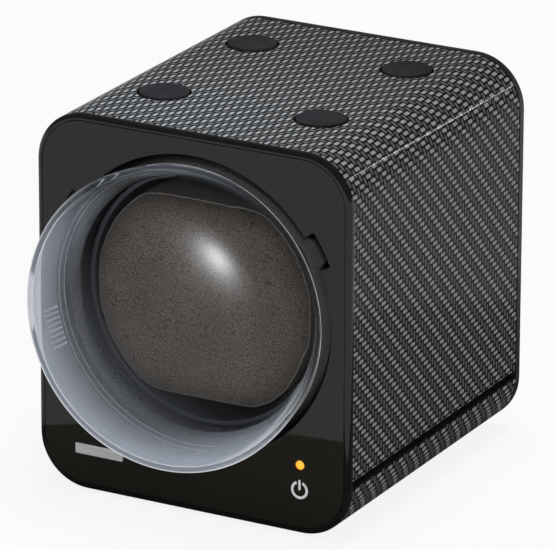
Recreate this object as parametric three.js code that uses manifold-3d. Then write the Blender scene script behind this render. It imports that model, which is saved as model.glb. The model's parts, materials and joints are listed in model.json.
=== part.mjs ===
// A watch winder box: a carbon-look case on four feet, with a clear dome on a
// bayonet ring, a turning cup that holds the watch cushion, its gear drive,
// and a rear cover with a socket and two slide switches.
//
// Millimetres, +Z up. X is to the viewer's right and the front faces -Y.
// The origin is the middle of the base, on the surface the box stands on.
import * as THREE from 'three';
import { mergeVertices } from 'three/addons/utils/BufferGeometryUtils.js';
import Module from 'manifold-3d';

const wasm = await Module();
wasm.setup();

// ---------------------------------------------------------------- dimensions
const WIDTH = 110; // case, along X
const HEIGHT = 123.5; // case without its feet, along Z
const DEPTH = 116.3; // bezel face to rear face, along Y
const CORNER = 16.75; // outside corner radius of the case's section
const WALL = 2.5; // case wall
const GAP = 0.3; // clearance where two pieces touch on the real object

const AXIS_HEIGHT = 67.8; // dome and cup axis above the case's underside
const SEAM_HEIGHT = 18.3; // middle of the side seam above the underside
const SEAM_WIDTH = 2.6;

const BEZEL_DEPTH = 2.2; // bezel in front of the case shells
const BEZEL_WIDTH = 2.15; // visible width of the bezel around the panel
const BEZEL_ROUND = 1.8;
const BEZEL_SPLIT_UP = 0.9; // split between the two bezels, above the side seam's lower lip
const LIP = 0.9; // what is left of the case wall in front, around the bezel's web
const LIP_DEPTH = 2;
const WEB_WIDTH = 2.2; // bezel web behind the panel
const PANEL_THICK = 1.9;

const OPENING_R = 48.4; // round opening in the front panel
const NOTCH_DEPTH = 3.7; // bayonet notches, beyond the opening
const NOTCH_ANGLE = 12.6; // degrees that one notch covers
const NOTCH_AT = [30, 150, 270]; // degrees, seen from the front
const TAB_DEPTH = 2; // bayonet tabs, beyond the opening
const TAB_PLAY = 1.1; // degrees free on each side of a tab in its notch
const TAB_THICK = 2.6;
const CHANNEL_PLAY = 0.4; // around the tabs in the seat's channel
const SEAT_WALL = 1.4;
const SEAT_FLOOR = 2;
const RING_PLAY = 0.5; // dome ring in the opening
const RING_WIDTH = 6;
const RING_THICK = 4.5;
const SEAL_THICK = 1;

const DOME_WALL = 2;
const DOME_NECK_IN = 4.8; // opening radius less the dome's radius at its neck
const DOME_BULGE_IN = 0.25; // opening radius less the dome's largest radius
const DOME_BULGE_OUT = 15.8; // largest radius, in front of the bezel face
const DOME_CROWN = 18.85; // from the largest radius to the tip

const CUP_PLAY = 1.2; // cup in the seat's floor ring
const CUP_WALL = 1.6;
const CUP_LENGTH = 39.6;
const CUP_FLOOR = 2;
const HUB_R = 8;
const HUB_LENGTH = 8;
const MERGE = 1; // how far joined shapes run into each other
const CUSHION_PLAY = 0.8; // cushion in the cup
const CUSHION_FLAT = 34; // half height of the cushion at its flat top and bottom
const CUSHION_FRONT = 3.6; // cushion face behind the bezel face
const CUSHION_THICK = 37;
const CUSHION_ROUND = 7;
const CUSHION_FLAT_LIMIT = 0.9; // of the cushion's radius
const BACK_PLATE_W = 1.43; // back plate, as shares of the cushion's radius
const BACK_PLATE_H = 1.28;
const BACK_PLATE_THICK = 2;
const BACK_PLATE_CORNER = 8;

const SHAFT_R = 3;
const BUSH_R = 6;
const FLANGE_R = 8;
const FLANGE_THICK = 1.5;
const BRACKET_PLATE = 3;
const BRACKET_SPAN = 15; // clear distance between the bracket's two plates
const BRACKET_W = 44;
const BRACKET_OVER = 12; // bracket above the cup's axis
const BRACKET_BASE = 3;
const GEAR_MODULE = 1;
const GEAR_TEETH = 48;
const PINION_TEETH = 12;
const GEAR_DEDENDUM = 1.2; // in modules
const GEAR_ADDENDUM = 0.8;
const TOOTH_ROOT_HALF = 0.29; // half widths of a tooth, as shares of one step
const TOOTH_TIP_HALF = 0.11;
const GEAR_THICK = 5;
const GEAR_SIDE = 2; // from the front plate to the gear
const GEAR_HOLES = 6;
const GEAR_HOLE_R = 4;
const PINION_OVER = 0.5; // pinion beyond the gear's face, on each side
const CLIP_WIDTH = 2.5;
const CLIP_THICK = 1;
const CLIP_SLOT = 1.2; // half width of the clip's mouth
const SHAFT_TAIL = 3;
const BACKLASH = 0.2; // added to the gears' centre distance
const MOTOR_R = 15;
const MOTOR_LENGTH = 25;
const MOTOR_SHAFT_R = 2;
const MOTOR_SCREW_X = 11;
const MOTOR_SCREW_DEPTH = 4;
const MOTOR_CAP_R = 4.5;
const MOTOR_CAP = 1.5;
const MOTOR_SHAFT_PLAY = 2; // round the motor's shaft in the bracket

const CHASSIS_WALL = 1.8;
const CHASSIS_TOP = 34; // above the case's underside
const CHASSIS_START = 8; // behind the bezel face
const BOSS_R = 3.5;
const BOSS_LENGTH = 12;
const SCREW_R = 1.5; // rear cover screws
const SCREW_HEAD_R = 2.8;
const SCREW_HEAD = 1.5;
const SCREW_LENGTH = 10;
const CROSS_REACH = 0.6; // cross slot, as shares of the head's radius and height
const CROSS_DEPTH = 0.45;
const CROSS_HALF = 0.35;
const BASE_SCREW_X = 30;
const BASE_SCREW_Y = 44;
const BASE_SCREW_HEAD = 1.2;
const BASE_BOSS = 3.5; // chassis bosses over the base screws

const PLUG_X = 27.6; // stacking plugs in the top
const PLUG_Y = 28.25;
const PLUG_MID_Y = 1.8; // middle of the four plugs, behind the case's middle
const PLUG_R = 8.2;
const PLUG_PROUD = 0.6;
const PLUG_DEPTH = 5;
const PLUG_EDGE = 0.5; // step round the plug's top
const PRY_HALF = 2; // half width of the notch that a plug is pried out by
const PRY_DEPTH = 1;
const SOCKET_WALL = 1.5;

const FOOT_R = 8;
const FOOT_PROUD = 0.8;
const FOOT_SUNK = 0.9;
const FOOT_EDGE = 0.6;
const FOOT_X = 30;

const REAR_THICK = 2.5;
const VENT_COUNT = 6;
const VENT_WIDTH = 36;
const VENT_SLOT = 2;
const VENT_PITCH = 5;
const VENT_BELOW_TOP = 22; // first slot under the case's top
const JACK_R = 4.9;
const JACK_BORE_R = 2.9;
const JACK_PIN_R = 1;
const JACK_LENGTH = 12.5;
const JACK_SUNK = 0.2; // behind the rear face
const JACK_FLOOR = 2;
const JACK_PIN_SUNK = 1.5;
const JACK_X = 30;
const DIRECTION_X = -18; // the two slide switches
const PROGRAM_X = 6;
const SWITCH_W = 14;
const SWITCH_H = 6;
const SWITCH_BODY = 5;
const KNOB_W = 3.5;
const KNOB_H = 3;
const KNOB_OUT = 1.4; // knob beyond the rear face
const KNOB_TRAVEL = 2; // each way
const SOCKET_HEIGHT = 22; // jack and switches above the case's underside

const LED_X = 37.7;
const LED_HEIGHT = 22.6;
const LED_R = 1.5;
const LED_PROUD = 0.35;
const LED_TIP = [[0.6, 0.15], [1, 0.7]]; // its radius as a share, and how far behind the tip
const TOUCH_HEIGHT = 14.5; // middle of the touch field
const TOUCH_BOARD_W = 13;
const TOUCH_BOARD_LEFT = 5.2; // board to the left of the lamp, under the field, over the lamp
const TOUCH_BOARD_UNDER = 5;
const TOUCH_BOARD_OVER = 3;
const TOUCH_BOARD_THICK = 1.6;
const NAMEPLATE_X = -33.4;
const NAMEPLATE_HEIGHT = 13.5;
const NAMEPLATE_W = 17;
const NAMEPLATE_H = 3.4;
const NAMEPLATE_THICK = 0.5;
const NAMEPLATE_SUNK = 0.3;

const BOARD_W = 50;
const BOARD_LENGTH = 22;
const BOARD_THICK = 1.6;
const STANDOFF = 3;
const STANDOFF_R = 2.2;
const STANDOFF_IN = [4, 3]; // from the board's edges, along X and Y
const CHIP = 9;
const CHIP_X = -13.5;
const CHIP_THICK = 1.4;
const CAPACITOR_X = 18;
const CAPACITOR_R = 4;
const CAPACITOR_HEIGHT = 9;

const ROUND = 36; // sides of a large circle
const SMALL_ROUND = 14; // sides of a small one
const OPENING_ROUND = 54; // sides of the front opening
const CORNER_STEPS = 5;

// ------------------------------------------------------------ derived places
const FRONT = -DEPTH / 2;
const BACK = DEPTH / 2;
const CASE_Z = FOOT_PROUD;
const TOP_Z = CASE_Z + HEIGHT;
const AXIS_Z = CASE_Z + AXIS_HEIGHT;
const SEAM_Z = CASE_Z + SEAM_HEIGHT;
const SHELL_FRONT = FRONT + BEZEL_DEPTH + GAP;
const SHELL_BACK = BACK - REAR_THICK - GAP;
const PANEL_BACK = FRONT + PANEL_THICK;

const TAB_R = OPENING_R + TAB_DEPTH;
const CHANNEL_R = TAB_R + CHANNEL_PLAY;
const SEAT_R = CHANNEL_R + SEAT_WALL;
const SEAT_FRONT = PANEL_BACK + GAP;
const RING_R = OPENING_R - RING_PLAY;
const RING_IN_R = RING_R - RING_WIDTH;
const RING_FRONT = SEAT_FRONT + 2 * GAP;
const RING_BACK = RING_FRONT + RING_THICK;
const CHANNEL_BACK = RING_FRONT + TAB_THICK + GAP;
const SEAL_FRONT = RING_BACK + GAP;
const SEAT_FLOOR_Y = SEAL_FRONT + SEAL_THICK + GAP;
const SEAT_BACK = SEAT_FLOOR_Y + SEAT_FLOOR;
const SEAT_IN_R = RING_IN_R + 2 * GAP + GAP;

const CUP_R = SEAT_IN_R - CUP_PLAY;
const CUP_IN_R = CUP_R - CUP_WALL;
const CUP_FRONT = SEAT_FLOOR_Y + GAP;
const CUP_FLOOR_Y = CUP_FRONT + CUP_LENGTH - CUP_FLOOR;
const CUP_BACK = CUP_FRONT + CUP_LENGTH;
const CUSHION_R = Math.min(CUP_IN_R, RING_IN_R) - CUSHION_PLAY;
const CUSHION_Y = FRONT + CUSHION_FRONT;
const CUSHION_BACK = Math.min(CUSHION_Y + CUSHION_THICK, CUP_FLOOR_Y - BACK_PLATE_THICK - 3 * GAP);

const PLATE_1 = CUP_BACK + HUB_LENGTH + FLANGE_THICK + 2 * GAP;
const PLATE_2 = PLATE_1 + BRACKET_PLATE + BRACKET_SPAN;
const GEAR_Y = PLATE_1 + BRACKET_PLATE + GEAR_SIDE;
const CLIP_Y = PLATE_2 + BRACKET_PLATE + FLANGE_THICK + 2 * GAP;
const SHAFT_END = CLIP_Y + SHAFT_TAIL;
const CENTRES = (GEAR_MODULE * (GEAR_TEETH + PINION_TEETH)) / 2 + BACKLASH;
const MOTOR_Z = AXIS_Z - CENTRES;
const MOTOR_Y = PLATE_2 + BRACKET_PLATE + GAP;

const FLOOR_TOP = CASE_Z + WALL + GAP + CHASSIS_WALL;
const CHASSIS_INSET = WALL + GAP;
const CHASSIS_BACK = SHELL_BACK - GAP;
const BOARD_Z = FLOOR_TOP + STANDOFF + GAP;
const BOARD_BACK = SHELL_BACK - SWITCH_BODY - 2;
const BOARD_Y = BOARD_BACK - BOARD_LENGTH / 2;
const REAR_INSIDE = BACK - REAR_THICK;

const CORNER_X = WIDTH / 2 - CORNER;
const BOSS_REACH = (CORNER - WALL - BOSS_R + 0.8) * Math.SQRT1_2;
const BOSS_X = CORNER_X + BOSS_REACH;
const BOSS_Z = [CASE_Z + CORNER - BOSS_REACH, TOP_Z - CORNER + BOSS_REACH];
const FOOT_Y = PLUG_Y;

// ------------------------------------------------------------------ geometry
// A closed three.js geometry as a manifold-3d solid, with its faces outwards.
function solid(geometry) {
  const bare = geometry.clone();
  bare.deleteAttribute('normal');
  bare.deleteAttribute('uv');
  const merged = mergeVertices(bare, 1e-4);
  const points = merged.attributes.position.array;
  const corners = merged.index.array;
  const triangles = [];
  let volume = 0;
  for (let i = 0; i < corners.length; i += 3) {
    const [a, b, c] = [corners[i], corners[i + 1], corners[i + 2]];
    if (a === b || b === c || c === a) continue;
    triangles.push(a, b, c);
    const p = new THREE.Vector3().fromArray(points, 3 * a);
    const q = new THREE.Vector3().fromArray(points, 3 * b);
    const r = new THREE.Vector3().fromArray(points, 3 * c);
    volume += p.dot(q.cross(r));
  }
  if (volume < 0) triangles.reverse();
  const mesh = new wasm.Mesh({
    numProp: 3,
    vertProperties: new Float32Array(points),
    triVerts: new Uint32Array(triangles),
  });
  return new wasm.Manifold(mesh);
}

function box(x0, x1, y0, y1, z0, z1) {
  const block = new THREE.BoxGeometry(x1 - x0, y1 - y0, z1 - z0);
  return solid(block.translate((x0 + x1) / 2, (y0 + y1) / 2, (z0 + z1) / 2));
}

// A cylinder along Y, between two places on that axis.
function rod(radius, y0, y1, x = 0, z = 0, sides = SMALL_ROUND) {
  const cylinder = new THREE.CylinderGeometry(radius, radius, y1 - y0, sides);
  return solid(cylinder.translate(x, (y0 + y1) / 2, z));
}

// A cylinder along Z.
function post(radius, z0, z1, x = 0, y = 0, sides = SMALL_ROUND) {
  const cylinder = new THREE.CylinderGeometry(radius, radius, z1 - z0, sides);
  return solid(cylinder.rotateX(Math.PI / 2).translate(x, y, (z0 + z1) / 2));
}

// A ring along Y.
function tube(outer, inner, y0, y1, sides = ROUND) {
  return rod(outer, y0, y1, 0, 0, sides).subtract(rod(inner, y0 - 1, y1 + 1, 0, 0, sides));
}

// A shape drawn in X and Z, made solid between two places on Y.
function slab(shape, y0, y1, options = {}) {
  const bevel = options.bevelEnabled ? options.bevelThickness : 0;
  const settings = { depth: y1 - y0 - 2 * bevel, bevelEnabled: false, ...options };
  const geometry = new THREE.ExtrudeGeometry(shape, settings);
  return solid(geometry.rotateX(Math.PI / 2).translate(0, y1 - bevel, 0));
}

// A rounded rectangle round the point (x, z).
function roundedRect(width, height, radius, x = 0, z = 0) {
  const shape = new THREE.Shape();
  const [w, h] = [width / 2 - radius, height / 2 - radius];
  shape.absarc(x + w, z + h, radius, 0, Math.PI / 2);
  shape.absarc(x - w, z + h, radius, Math.PI / 2, Math.PI);
  shape.absarc(x - w, z - h, radius, Math.PI, 1.5 * Math.PI);
  shape.absarc(x + w, z - h, radius, 1.5 * Math.PI, 2 * Math.PI);
  shape.closePath();
  return shape;
}

// The case's section, set in by a distance, as a solid between two places on Y.
function section(inset, y0, y1, options = {}) {
  const radius = Math.max(CORNER - inset, 1);
  const z = CASE_Z + HEIGHT / 2;
  const shape = roundedRect(WIDTH - 2 * inset, HEIGHT - 2 * inset, radius, 0, z);
  return slab(shape, y0, y1, { curveSegments: CORNER_STEPS, ...options });
}

function above(z) {
  return box(-WIDTH, WIDTH, -DEPTH, DEPTH, z, z + 2 * HEIGHT);
}

function below(z) {
  return box(-WIDTH, WIDTH, -DEPTH, DEPTH, z - 2 * HEIGHT, z);
}

// A piece of a ring: from one radius to another, over an angle seen from the front.
function sector(inner, outer, centre, angle, y0, y1) {
  const shape = new THREE.Shape();
  const from = THREE.MathUtils.degToRad(centre - angle / 2);
  const to = THREE.MathUtils.degToRad(centre + angle / 2);
  shape.absarc(0, 0, outer, from, to);
  shape.absarc(0, 0, inner, to, from, true);
  shape.closePath();
  return slab(shape, y0, y1, { curveSegments: 4 });
}

// A solid turned round Y from a profile of [radius, y] pairs.
function turned(profile, sides = ROUND) {
  const points = profile.map(([r, y]) => new THREE.Vector2(r, y));
  return solid(new THREE.LatheGeometry(points, sides));
}

// A spur gear with straight-sided teeth.
function gear(teeth, y0, y1, bore, turn = 0) {
  const pitch = (GEAR_MODULE * teeth) / 2;
  const rootR = pitch - GEAR_DEDENDUM * GEAR_MODULE;
  const tipR = pitch + GEAR_ADDENDUM * GEAR_MODULE;
  const step = (2 * Math.PI) / teeth;
  const outline = [];
  for (let i = 0; i < teeth; i += 1) {
    const [wide, narrow] = [TOOTH_ROOT_HALF, TOOTH_TIP_HALF];
    for (const [r, share] of [[rootR, -wide], [tipR, -narrow], [tipR, narrow], [rootR, wide]]) {
      const angle = (i + share) * step + turn;
      outline.push(new THREE.Vector2(r * Math.cos(angle), r * Math.sin(angle)));
    }
  }
  return slab(new THREE.Shape(outline), y0, y1).subtract(rod(bore, y0 - 1, y1 + 1));
}

// A pan-head screw along Y, head first, with a cross slot.
function screw(radius, headRadius, head, length) {
  const body = rod(headRadius, 0, head, 0, 0, 12).add(rod(radius, head / 2, length, 0, 0, 8));
  const [reach, floor] = [headRadius * CROSS_REACH, head * CROSS_DEPTH];
  const level = box(-reach, reach, -1, floor, -CROSS_HALF, CROSS_HALF);
  const upright = box(-CROSS_HALF, CROSS_HALF, -1, floor, -reach, reach);
  return body.subtract(level.add(upright));
}

// -------------------------------------------------------------------- naming
const group = new THREE.Group();

function finish(color, roughness, metalness = 0) {
  return new THREE.MeshStandardMaterial({ color, roughness, metalness });
}

const FINISH = {
  carbon: () => finish(0x4a4b4d, 0.35),
  gloss: () => finish(0x1c1c1a, 0.12),
  black: () => finish(0x161616, 0.55),
  rubber: () => finish(0x2a2b2d, 0.85),
  clear: () => finish(0xd8dde4, 0.05),
  suede: () => finish(0x5f5850, 0.9),
  steel: () => finish(0x9a9da0, 0.3, 1),
  brass: () => finish(0xb08d4a, 0.35, 1),
  nylon: () => finish(0xd9d6cc, 0.5),
  board: () => finish(0x1d4d33, 0.5),
  silver: () => finish(0xc9cacc, 0.28, 1),
  amber: () => finish(0xffb428, 0.3),
};

// Put a solid in the scene as a named mesh.
function piece(name, manifold, look, parent = group) {
  const { vertProperties, triVerts } = manifold.getMesh();
  const geometry = new THREE.BufferGeometry();
  geometry.setAttribute('position', new THREE.BufferAttribute(vertProperties, 3));
  geometry.setIndex(new THREE.BufferAttribute(triVerts, 1));
  geometry.computeVertexNormals();
  const mesh = new THREE.Mesh(geometry, FINISH[look]());
  mesh.name = name;
  parent.add(mesh);
  return mesh;
}

function groupAt(x, y, z) {
  const child = new THREE.Group();
  child.position.set(x, y, z);
  group.add(child);
  return child;
}

const axis = groupAt(0, 0, AXIS_Z); // the dome's and the cup's axis
const motorAxis = groupAt(0, 0, MOTOR_Z);

// --------------------------------------------------------------- case shells
const shellTube = section(0, SHELL_FRONT, SHELL_BACK)
  .subtract(section(WALL, FRONT - 1, BACK + 1))
  .subtract(section(LIP, SHELL_FRONT - 1, SHELL_FRONT + LIP_DEPTH));

function rearBoss(x, z) {
  const boss = rod(BOSS_R, SHELL_BACK - BOSS_LENGTH, SHELL_BACK, x, z);
  return boss.intersect(section(WALL / 2, FRONT, BACK));
}

function rearBossBore(x, z) {
  return rod(SCREW_R + GAP, REAR_INSIDE - SCREW_LENGTH, BACK + 1, x, z);
}

const plugPlaces = [];
for (const y of [PLUG_MID_Y - PLUG_Y, PLUG_MID_Y + PLUG_Y]) {
  for (const x of [-PLUG_X, PLUG_X]) plugPlaces.push([x, y]);
}

function upperShell() {
  let shell = shellTube.intersect(above(SEAM_Z + SEAM_WIDTH / 2));
  const socketR = PLUG_R + GAP;
  const socketFloor = TOP_Z - PLUG_DEPTH - GAP;
  for (const [x, y] of plugPlaces) {
    shell = shell.add(post(socketR + SOCKET_WALL, socketFloor - SOCKET_WALL, TOP_Z - 1, x, y, 20));
    shell = shell.subtract(post(socketR, socketFloor, TOP_Z + 1, x, y, 20));
  }
  for (const x of [-BOSS_X, BOSS_X]) {
    shell = shell.add(rearBoss(x, BOSS_Z[1])).subtract(rearBossBore(x, BOSS_Z[1]));
  }
  return shell;
}
piece('upper_shell', upperShell(), 'carbon');

const footPlaces = [];
for (const y of [PLUG_MID_Y - FOOT_Y, PLUG_MID_Y + FOOT_Y]) {
  for (const x of [-FOOT_X, FOOT_X]) footPlaces.push([x, y]);
}
const baseScrewPlaces = [];
for (const y of [-BASE_SCREW_Y, BASE_SCREW_Y]) {
  for (const x of [-BASE_SCREW_X, BASE_SCREW_X]) baseScrewPlaces.push([x, y]);
}
const BASE_SCREW_TOP = FLOOR_TOP + BASE_BOSS - 1.5;

function baseTray() {
  let tray = shellTube.intersect(below(SEAM_Z - SEAM_WIDTH / 2));
  for (const x of [-BOSS_X, BOSS_X]) {
    tray = tray.add(rearBoss(x, BOSS_Z[0])).subtract(rearBossBore(x, BOSS_Z[0]));
  }
  for (const [x, y] of footPlaces) {
    tray = tray.subtract(post(FOOT_R + GAP, CASE_Z - 1, CASE_Z + FOOT_SUNK + GAP, x, y));
  }
  for (const [x, y] of baseScrewPlaces) {
    tray = tray.subtract(post(SCREW_HEAD_R + GAP, CASE_Z - 1, CASE_Z + BASE_SCREW_HEAD + 2 * GAP, x, y));
    tray = tray.subtract(post(SCREW_R + GAP, CASE_Z, CASE_Z + WALL + 1, x, y));
  }
  return tray;
}
piece('base_tray', baseTray(), 'carbon');

// ------------------------------------------------------------------- chassis
const standoffPlaces = [];
const [standoffX, standoffY] = [BOARD_W / 2 - STANDOFF_IN[0], BOARD_LENGTH / 2 - STANDOFF_IN[1]];
for (const y of [BOARD_Y - standoffY, BOARD_Y + standoffY]) {
  for (const x of [-standoffX, standoffX]) standoffPlaces.push([x, y]);
}

function chassis() {
  const [y0, y1] = [FRONT + CHASSIS_START, CHASSIS_BACK];
  let tray = section(CHASSIS_INSET, y0, y1);
  tray = tray.subtract(section(CHASSIS_INSET + CHASSIS_WALL, y0 - 1, y1 + 1));
  tray = tray.intersect(below(CASE_Z + CHASSIS_TOP));
  for (const x of [-BOSS_X, BOSS_X]) {
    const bossStart = SHELL_BACK - BOSS_LENGTH - GAP;
    tray = tray.subtract(rod(BOSS_R + GAP, bossStart, BACK, x, BOSS_Z[0]));
  }
  for (const [x, y] of standoffPlaces) {
    tray = tray.add(post(STANDOFF_R, FLOOR_TOP - MERGE, FLOOR_TOP + STANDOFF, x, y, 12));
  }
  for (const [x, y] of baseScrewPlaces) {
    tray = tray.add(post(BOSS_R, FLOOR_TOP - MERGE, FLOOR_TOP + BASE_BOSS, x, y));
    tray = tray.subtract(post(SCREW_R + GAP, CASE_Z, BASE_SCREW_TOP + GAP, x, y));
  }
  return tray;
}
piece('chassis', chassis(), 'black');

// -------------------------------------------------------------- bezel, panel
function bezelRing() {
  const rounding = { bevelEnabled: true, bevelSize: BEZEL_ROUND, bevelOffset: -BEZEL_ROUND };
  rounding.bevelThickness = BEZEL_ROUND;
  rounding.bevelSegments = 3;
  const rounded = section(0, FRONT, FRONT + 4 * BEZEL_ROUND, rounding);
  const frame = rounded.intersect(box(-WIDTH, WIDTH, FRONT - 1, FRONT + BEZEL_DEPTH, -HEIGHT, 2 * HEIGHT));
  const web = section(LIP + GAP, FRONT + 1, SHELL_FRONT + LIP_DEPTH - GAP);
  return frame
    .add(web)
    .subtract(section(BEZEL_WIDTH - GAP, FRONT - 1, SEAT_FRONT))
    .subtract(section(LIP + GAP + WEB_WIDTH, FRONT - 1, FRONT + 10));
}
const bezel = bezelRing();
const bezelSplit = SEAM_Z - SEAM_WIDTH / 2 + BEZEL_SPLIT_UP;
piece('bezel_upper', bezel.intersect(above(bezelSplit + GAP / 2)), 'gloss');
piece('bezel_lower', bezel.intersect(below(bezelSplit - GAP / 2)), 'gloss');

function frontPanel() {
  let panel = section(BEZEL_WIDTH, FRONT, PANEL_BACK);
  let opening = rod(OPENING_R, FRONT - 1, PANEL_BACK + 1, 0, 0, OPENING_ROUND);
  for (const at of NOTCH_AT) {
    const notch = sector(OPENING_R - 3, OPENING_R + NOTCH_DEPTH, at, NOTCH_ANGLE, FRONT - 1, PANEL_BACK + 1);
    opening = opening.add(notch);
  }
  panel = panel.subtract(opening.translate(0, 0, AXIS_Z));
  panel = panel.subtract(rod(LED_R + GAP, FRONT - 1, PANEL_BACK + 1, LED_X, CASE_Z + LED_HEIGHT));
  const [w, h] = [NAMEPLATE_W / 2 + GAP, NAMEPLATE_H / 2 + GAP];
  const z = CASE_Z + NAMEPLATE_HEIGHT;
  const pocketFloor = FRONT + NAMEPLATE_SUNK + GAP;
  const pocket = box(NAMEPLATE_X - w, NAMEPLATE_X + w, FRONT - 1, pocketFloor, z - h, z + h);
  return panel.subtract(pocket);
}
piece('front_panel', frontPanel(), 'gloss');

function nameplate() {
  const shape = roundedRect(NAMEPLATE_W, NAMEPLATE_H, 0.4, NAMEPLATE_X, CASE_Z + NAMEPLATE_HEIGHT);
  const back = FRONT + NAMEPLATE_SUNK;
  return slab(shape, back - NAMEPLATE_THICK, back, { curveSegments: 3 });
}
piece('nameplate', nameplate(), 'silver');

function led() {
  const [tip, back] = [FRONT - LED_PROUD, PANEL_BACK];
  const rounded = LED_TIP.map(([share, behind]) => [LED_R * share, tip + behind]);
  const lens = [[0, tip], ...rounded, [LED_R, back], [0, back]];
  return turned(lens, SMALL_ROUND).translate(LED_X, 0, CASE_Z + LED_HEIGHT);
}
piece('led', led(), 'amber');

function touchBoard() {
  const z0 = CASE_Z + TOUCH_HEIGHT - TOUCH_BOARD_UNDER;
  const z1 = CASE_Z + LED_HEIGHT + TOUCH_BOARD_OVER;
  const [x0, y0] = [LED_X - TOUCH_BOARD_LEFT, PANEL_BACK + GAP];
  return box(x0, x0 + TOUCH_BOARD_W, y0, y0 + TOUCH_BOARD_THICK, z0, z1)
    .subtract(rod(SEAT_R + GAP, FRONT, BACK, 0, AXIS_Z, ROUND))
    .subtract(section(0, FRONT, BACK).subtract(section(LIP + WEB_WIDTH + 2 * GAP, FRONT - 1, BACK + 1)));
}
piece('touch_board', touchBoard(), 'board');

// --------------------------------------------------------- bayonet seat, dome
function seatRing() {
  const ring = tube(SEAT_R, OPENING_R, SEAT_FRONT, SEAT_BACK, OPENING_ROUND)
    .add(tube(SEAT_R, SEAT_IN_R, SEAT_FLOOR_Y, SEAT_BACK, OPENING_ROUND))
    .subtract(rod(CHANNEL_R, SEAT_FRONT - 1, CHANNEL_BACK, 0, 0, OPENING_ROUND));
  const clear = section(LIP + WEB_WIDTH + 2 * GAP, FRONT, BACK);
  return ring.intersect(clear.translate(0, 0, -AXIS_Z));
}
piece('bayonet_seat', seatRing(), 'black', axis);

const seal = tube(RING_R - GAP, RING_IN_R + 4 * GAP, SEAL_FRONT, SEAL_FRONT + SEAL_THICK);
piece('dome_seal', seal, 'rubber', axis);

function domeRing() {
  let ring = tube(RING_R, RING_IN_R, RING_FRONT, RING_BACK);
  for (const at of NOTCH_AT) {
    const angle = NOTCH_ANGLE - 2 * TAB_PLAY;
    ring = ring.add(sector(RING_R - 2, TAB_R, at, angle, RING_FRONT, RING_FRONT + TAB_THICK));
  }
  return ring;
}
piece('dome_ring', domeRing(), 'black', axis);

// The dome's half section, from its neck out to the largest radius and in to the tip.
function domeProfile(inset) {
  const neck = OPENING_R - DOME_NECK_IN - inset;
  const bulge = OPENING_R - DOME_BULGE_IN - inset;
  const middle = FRONT - DOME_BULGE_OUT;
  const base = RING_FRONT - GAP;
  const reach = (base - middle) / Math.sqrt(1 - (neck / bulge) ** 2);
  const profile = [];
  const backSteps = 3;
  for (let i = 0; i < backSteps; i += 1) {
    const y = base + ((middle - base) * i) / backSteps;
    profile.push([bulge * Math.sqrt(1 - ((y - middle) / reach) ** 2), y]);
  }
  const frontSteps = 6;
  for (let i = 0; i <= frontSteps; i += 1) {
    const t = (i / frontSteps) * (Math.PI / 2);
    profile.push([bulge * Math.cos(t), middle - (DOME_CROWN - inset) * Math.sin(t)]);
  }
  profile[profile.length - 1][0] = 0;
  return profile;
}

function domeLens() {
  return turned([...domeProfile(0), ...domeProfile(DOME_WALL).reverse(), domeProfile(0)[0]]);
}
piece('dome_lens', domeLens(), 'clear', axis);

// -------------------------------------------------------------- cup, cushion
function watchCup() {
  const cup = rod(CUP_R, CUP_FRONT, CUP_BACK, 0, 0, ROUND)
    .subtract(rod(CUP_IN_R, CUP_FRONT - 1, CUP_FLOOR_Y, 0, 0, ROUND))
    .add(rod(HUB_R, CUP_BACK - MERGE, CUP_BACK + HUB_LENGTH));
  return cup.subtract(rod(SHAFT_R + GAP, CUP_BACK, CUP_BACK + HUB_LENGTH + 1));
}
piece('watch_cup', watchCup(), 'black', axis);

// A circle with a flat top and bottom.
function cushion() {
  const half = Math.min(CUSHION_FLAT, CUSHION_FLAT_LIMIT * CUSHION_R);
  const shape = new THREE.Shape();
  const radius = CUSHION_R - CUSHION_ROUND;
  const angle = Math.asin((half - CUSHION_ROUND) / radius);
  shape.absarc(0, 0, radius, -angle, angle);
  shape.absarc(0, 0, radius, Math.PI - angle, Math.PI + angle);
  shape.closePath();
  const rounding = { bevelEnabled: true, bevelSize: CUSHION_ROUND, bevelThickness: CUSHION_ROUND };
  rounding.bevelSegments = 2;
  rounding.curveSegments = 8;
  const limit = rod(CUSHION_R, CUSHION_Y - 1, CUSHION_BACK + 1, 0, 0, ROUND);
  return slab(shape, CUSHION_Y, CUSHION_BACK, rounding).intersect(limit);
}
piece('cushion', cushion(), 'suede', axis);

function cushionBackPlate() {
  const y0 = CUSHION_BACK + GAP;
  const [width, height] = [BACK_PLATE_W * CUSHION_R, BACK_PLATE_H * CUSHION_R];
  const outline = roundedRect(width, height, BACK_PLATE_CORNER);
  const plate = slab(outline, y0, y0 + BACK_PLATE_THICK, { curveSegments: 4 });
  return plate.add(rod(HUB_R, y0 + MERGE, CUP_FLOOR_Y - GAP));
}
piece('cushion_back_plate', cushionBackPlate(), 'black', axis);

// --------------------------------------------------------------------- drive
piece('drum_shaft', rod(SHAFT_R, CUP_BACK + GAP, SHAFT_END), 'steel', axis);

// A flanged bush: its body fills the bracket's plate, its flange lies on one side.
function bush(plate, flangeBehind) {
  const body = rod(BUSH_R, plate - 2 * GAP, plate + BRACKET_PLATE + 2 * GAP);
  const y = flangeBehind ? plate + BRACKET_PLATE + GAP : plate - GAP - FLANGE_THICK;
  const flange = rod(FLANGE_R, y, y + FLANGE_THICK);
  return body.add(flange).subtract(rod(SHAFT_R + GAP, plate - 10, plate + 20));
}
piece('front_bush', bush(PLATE_1, false), 'brass', axis);
piece('rear_bush', bush(PLATE_2, true), 'brass', axis);

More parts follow.
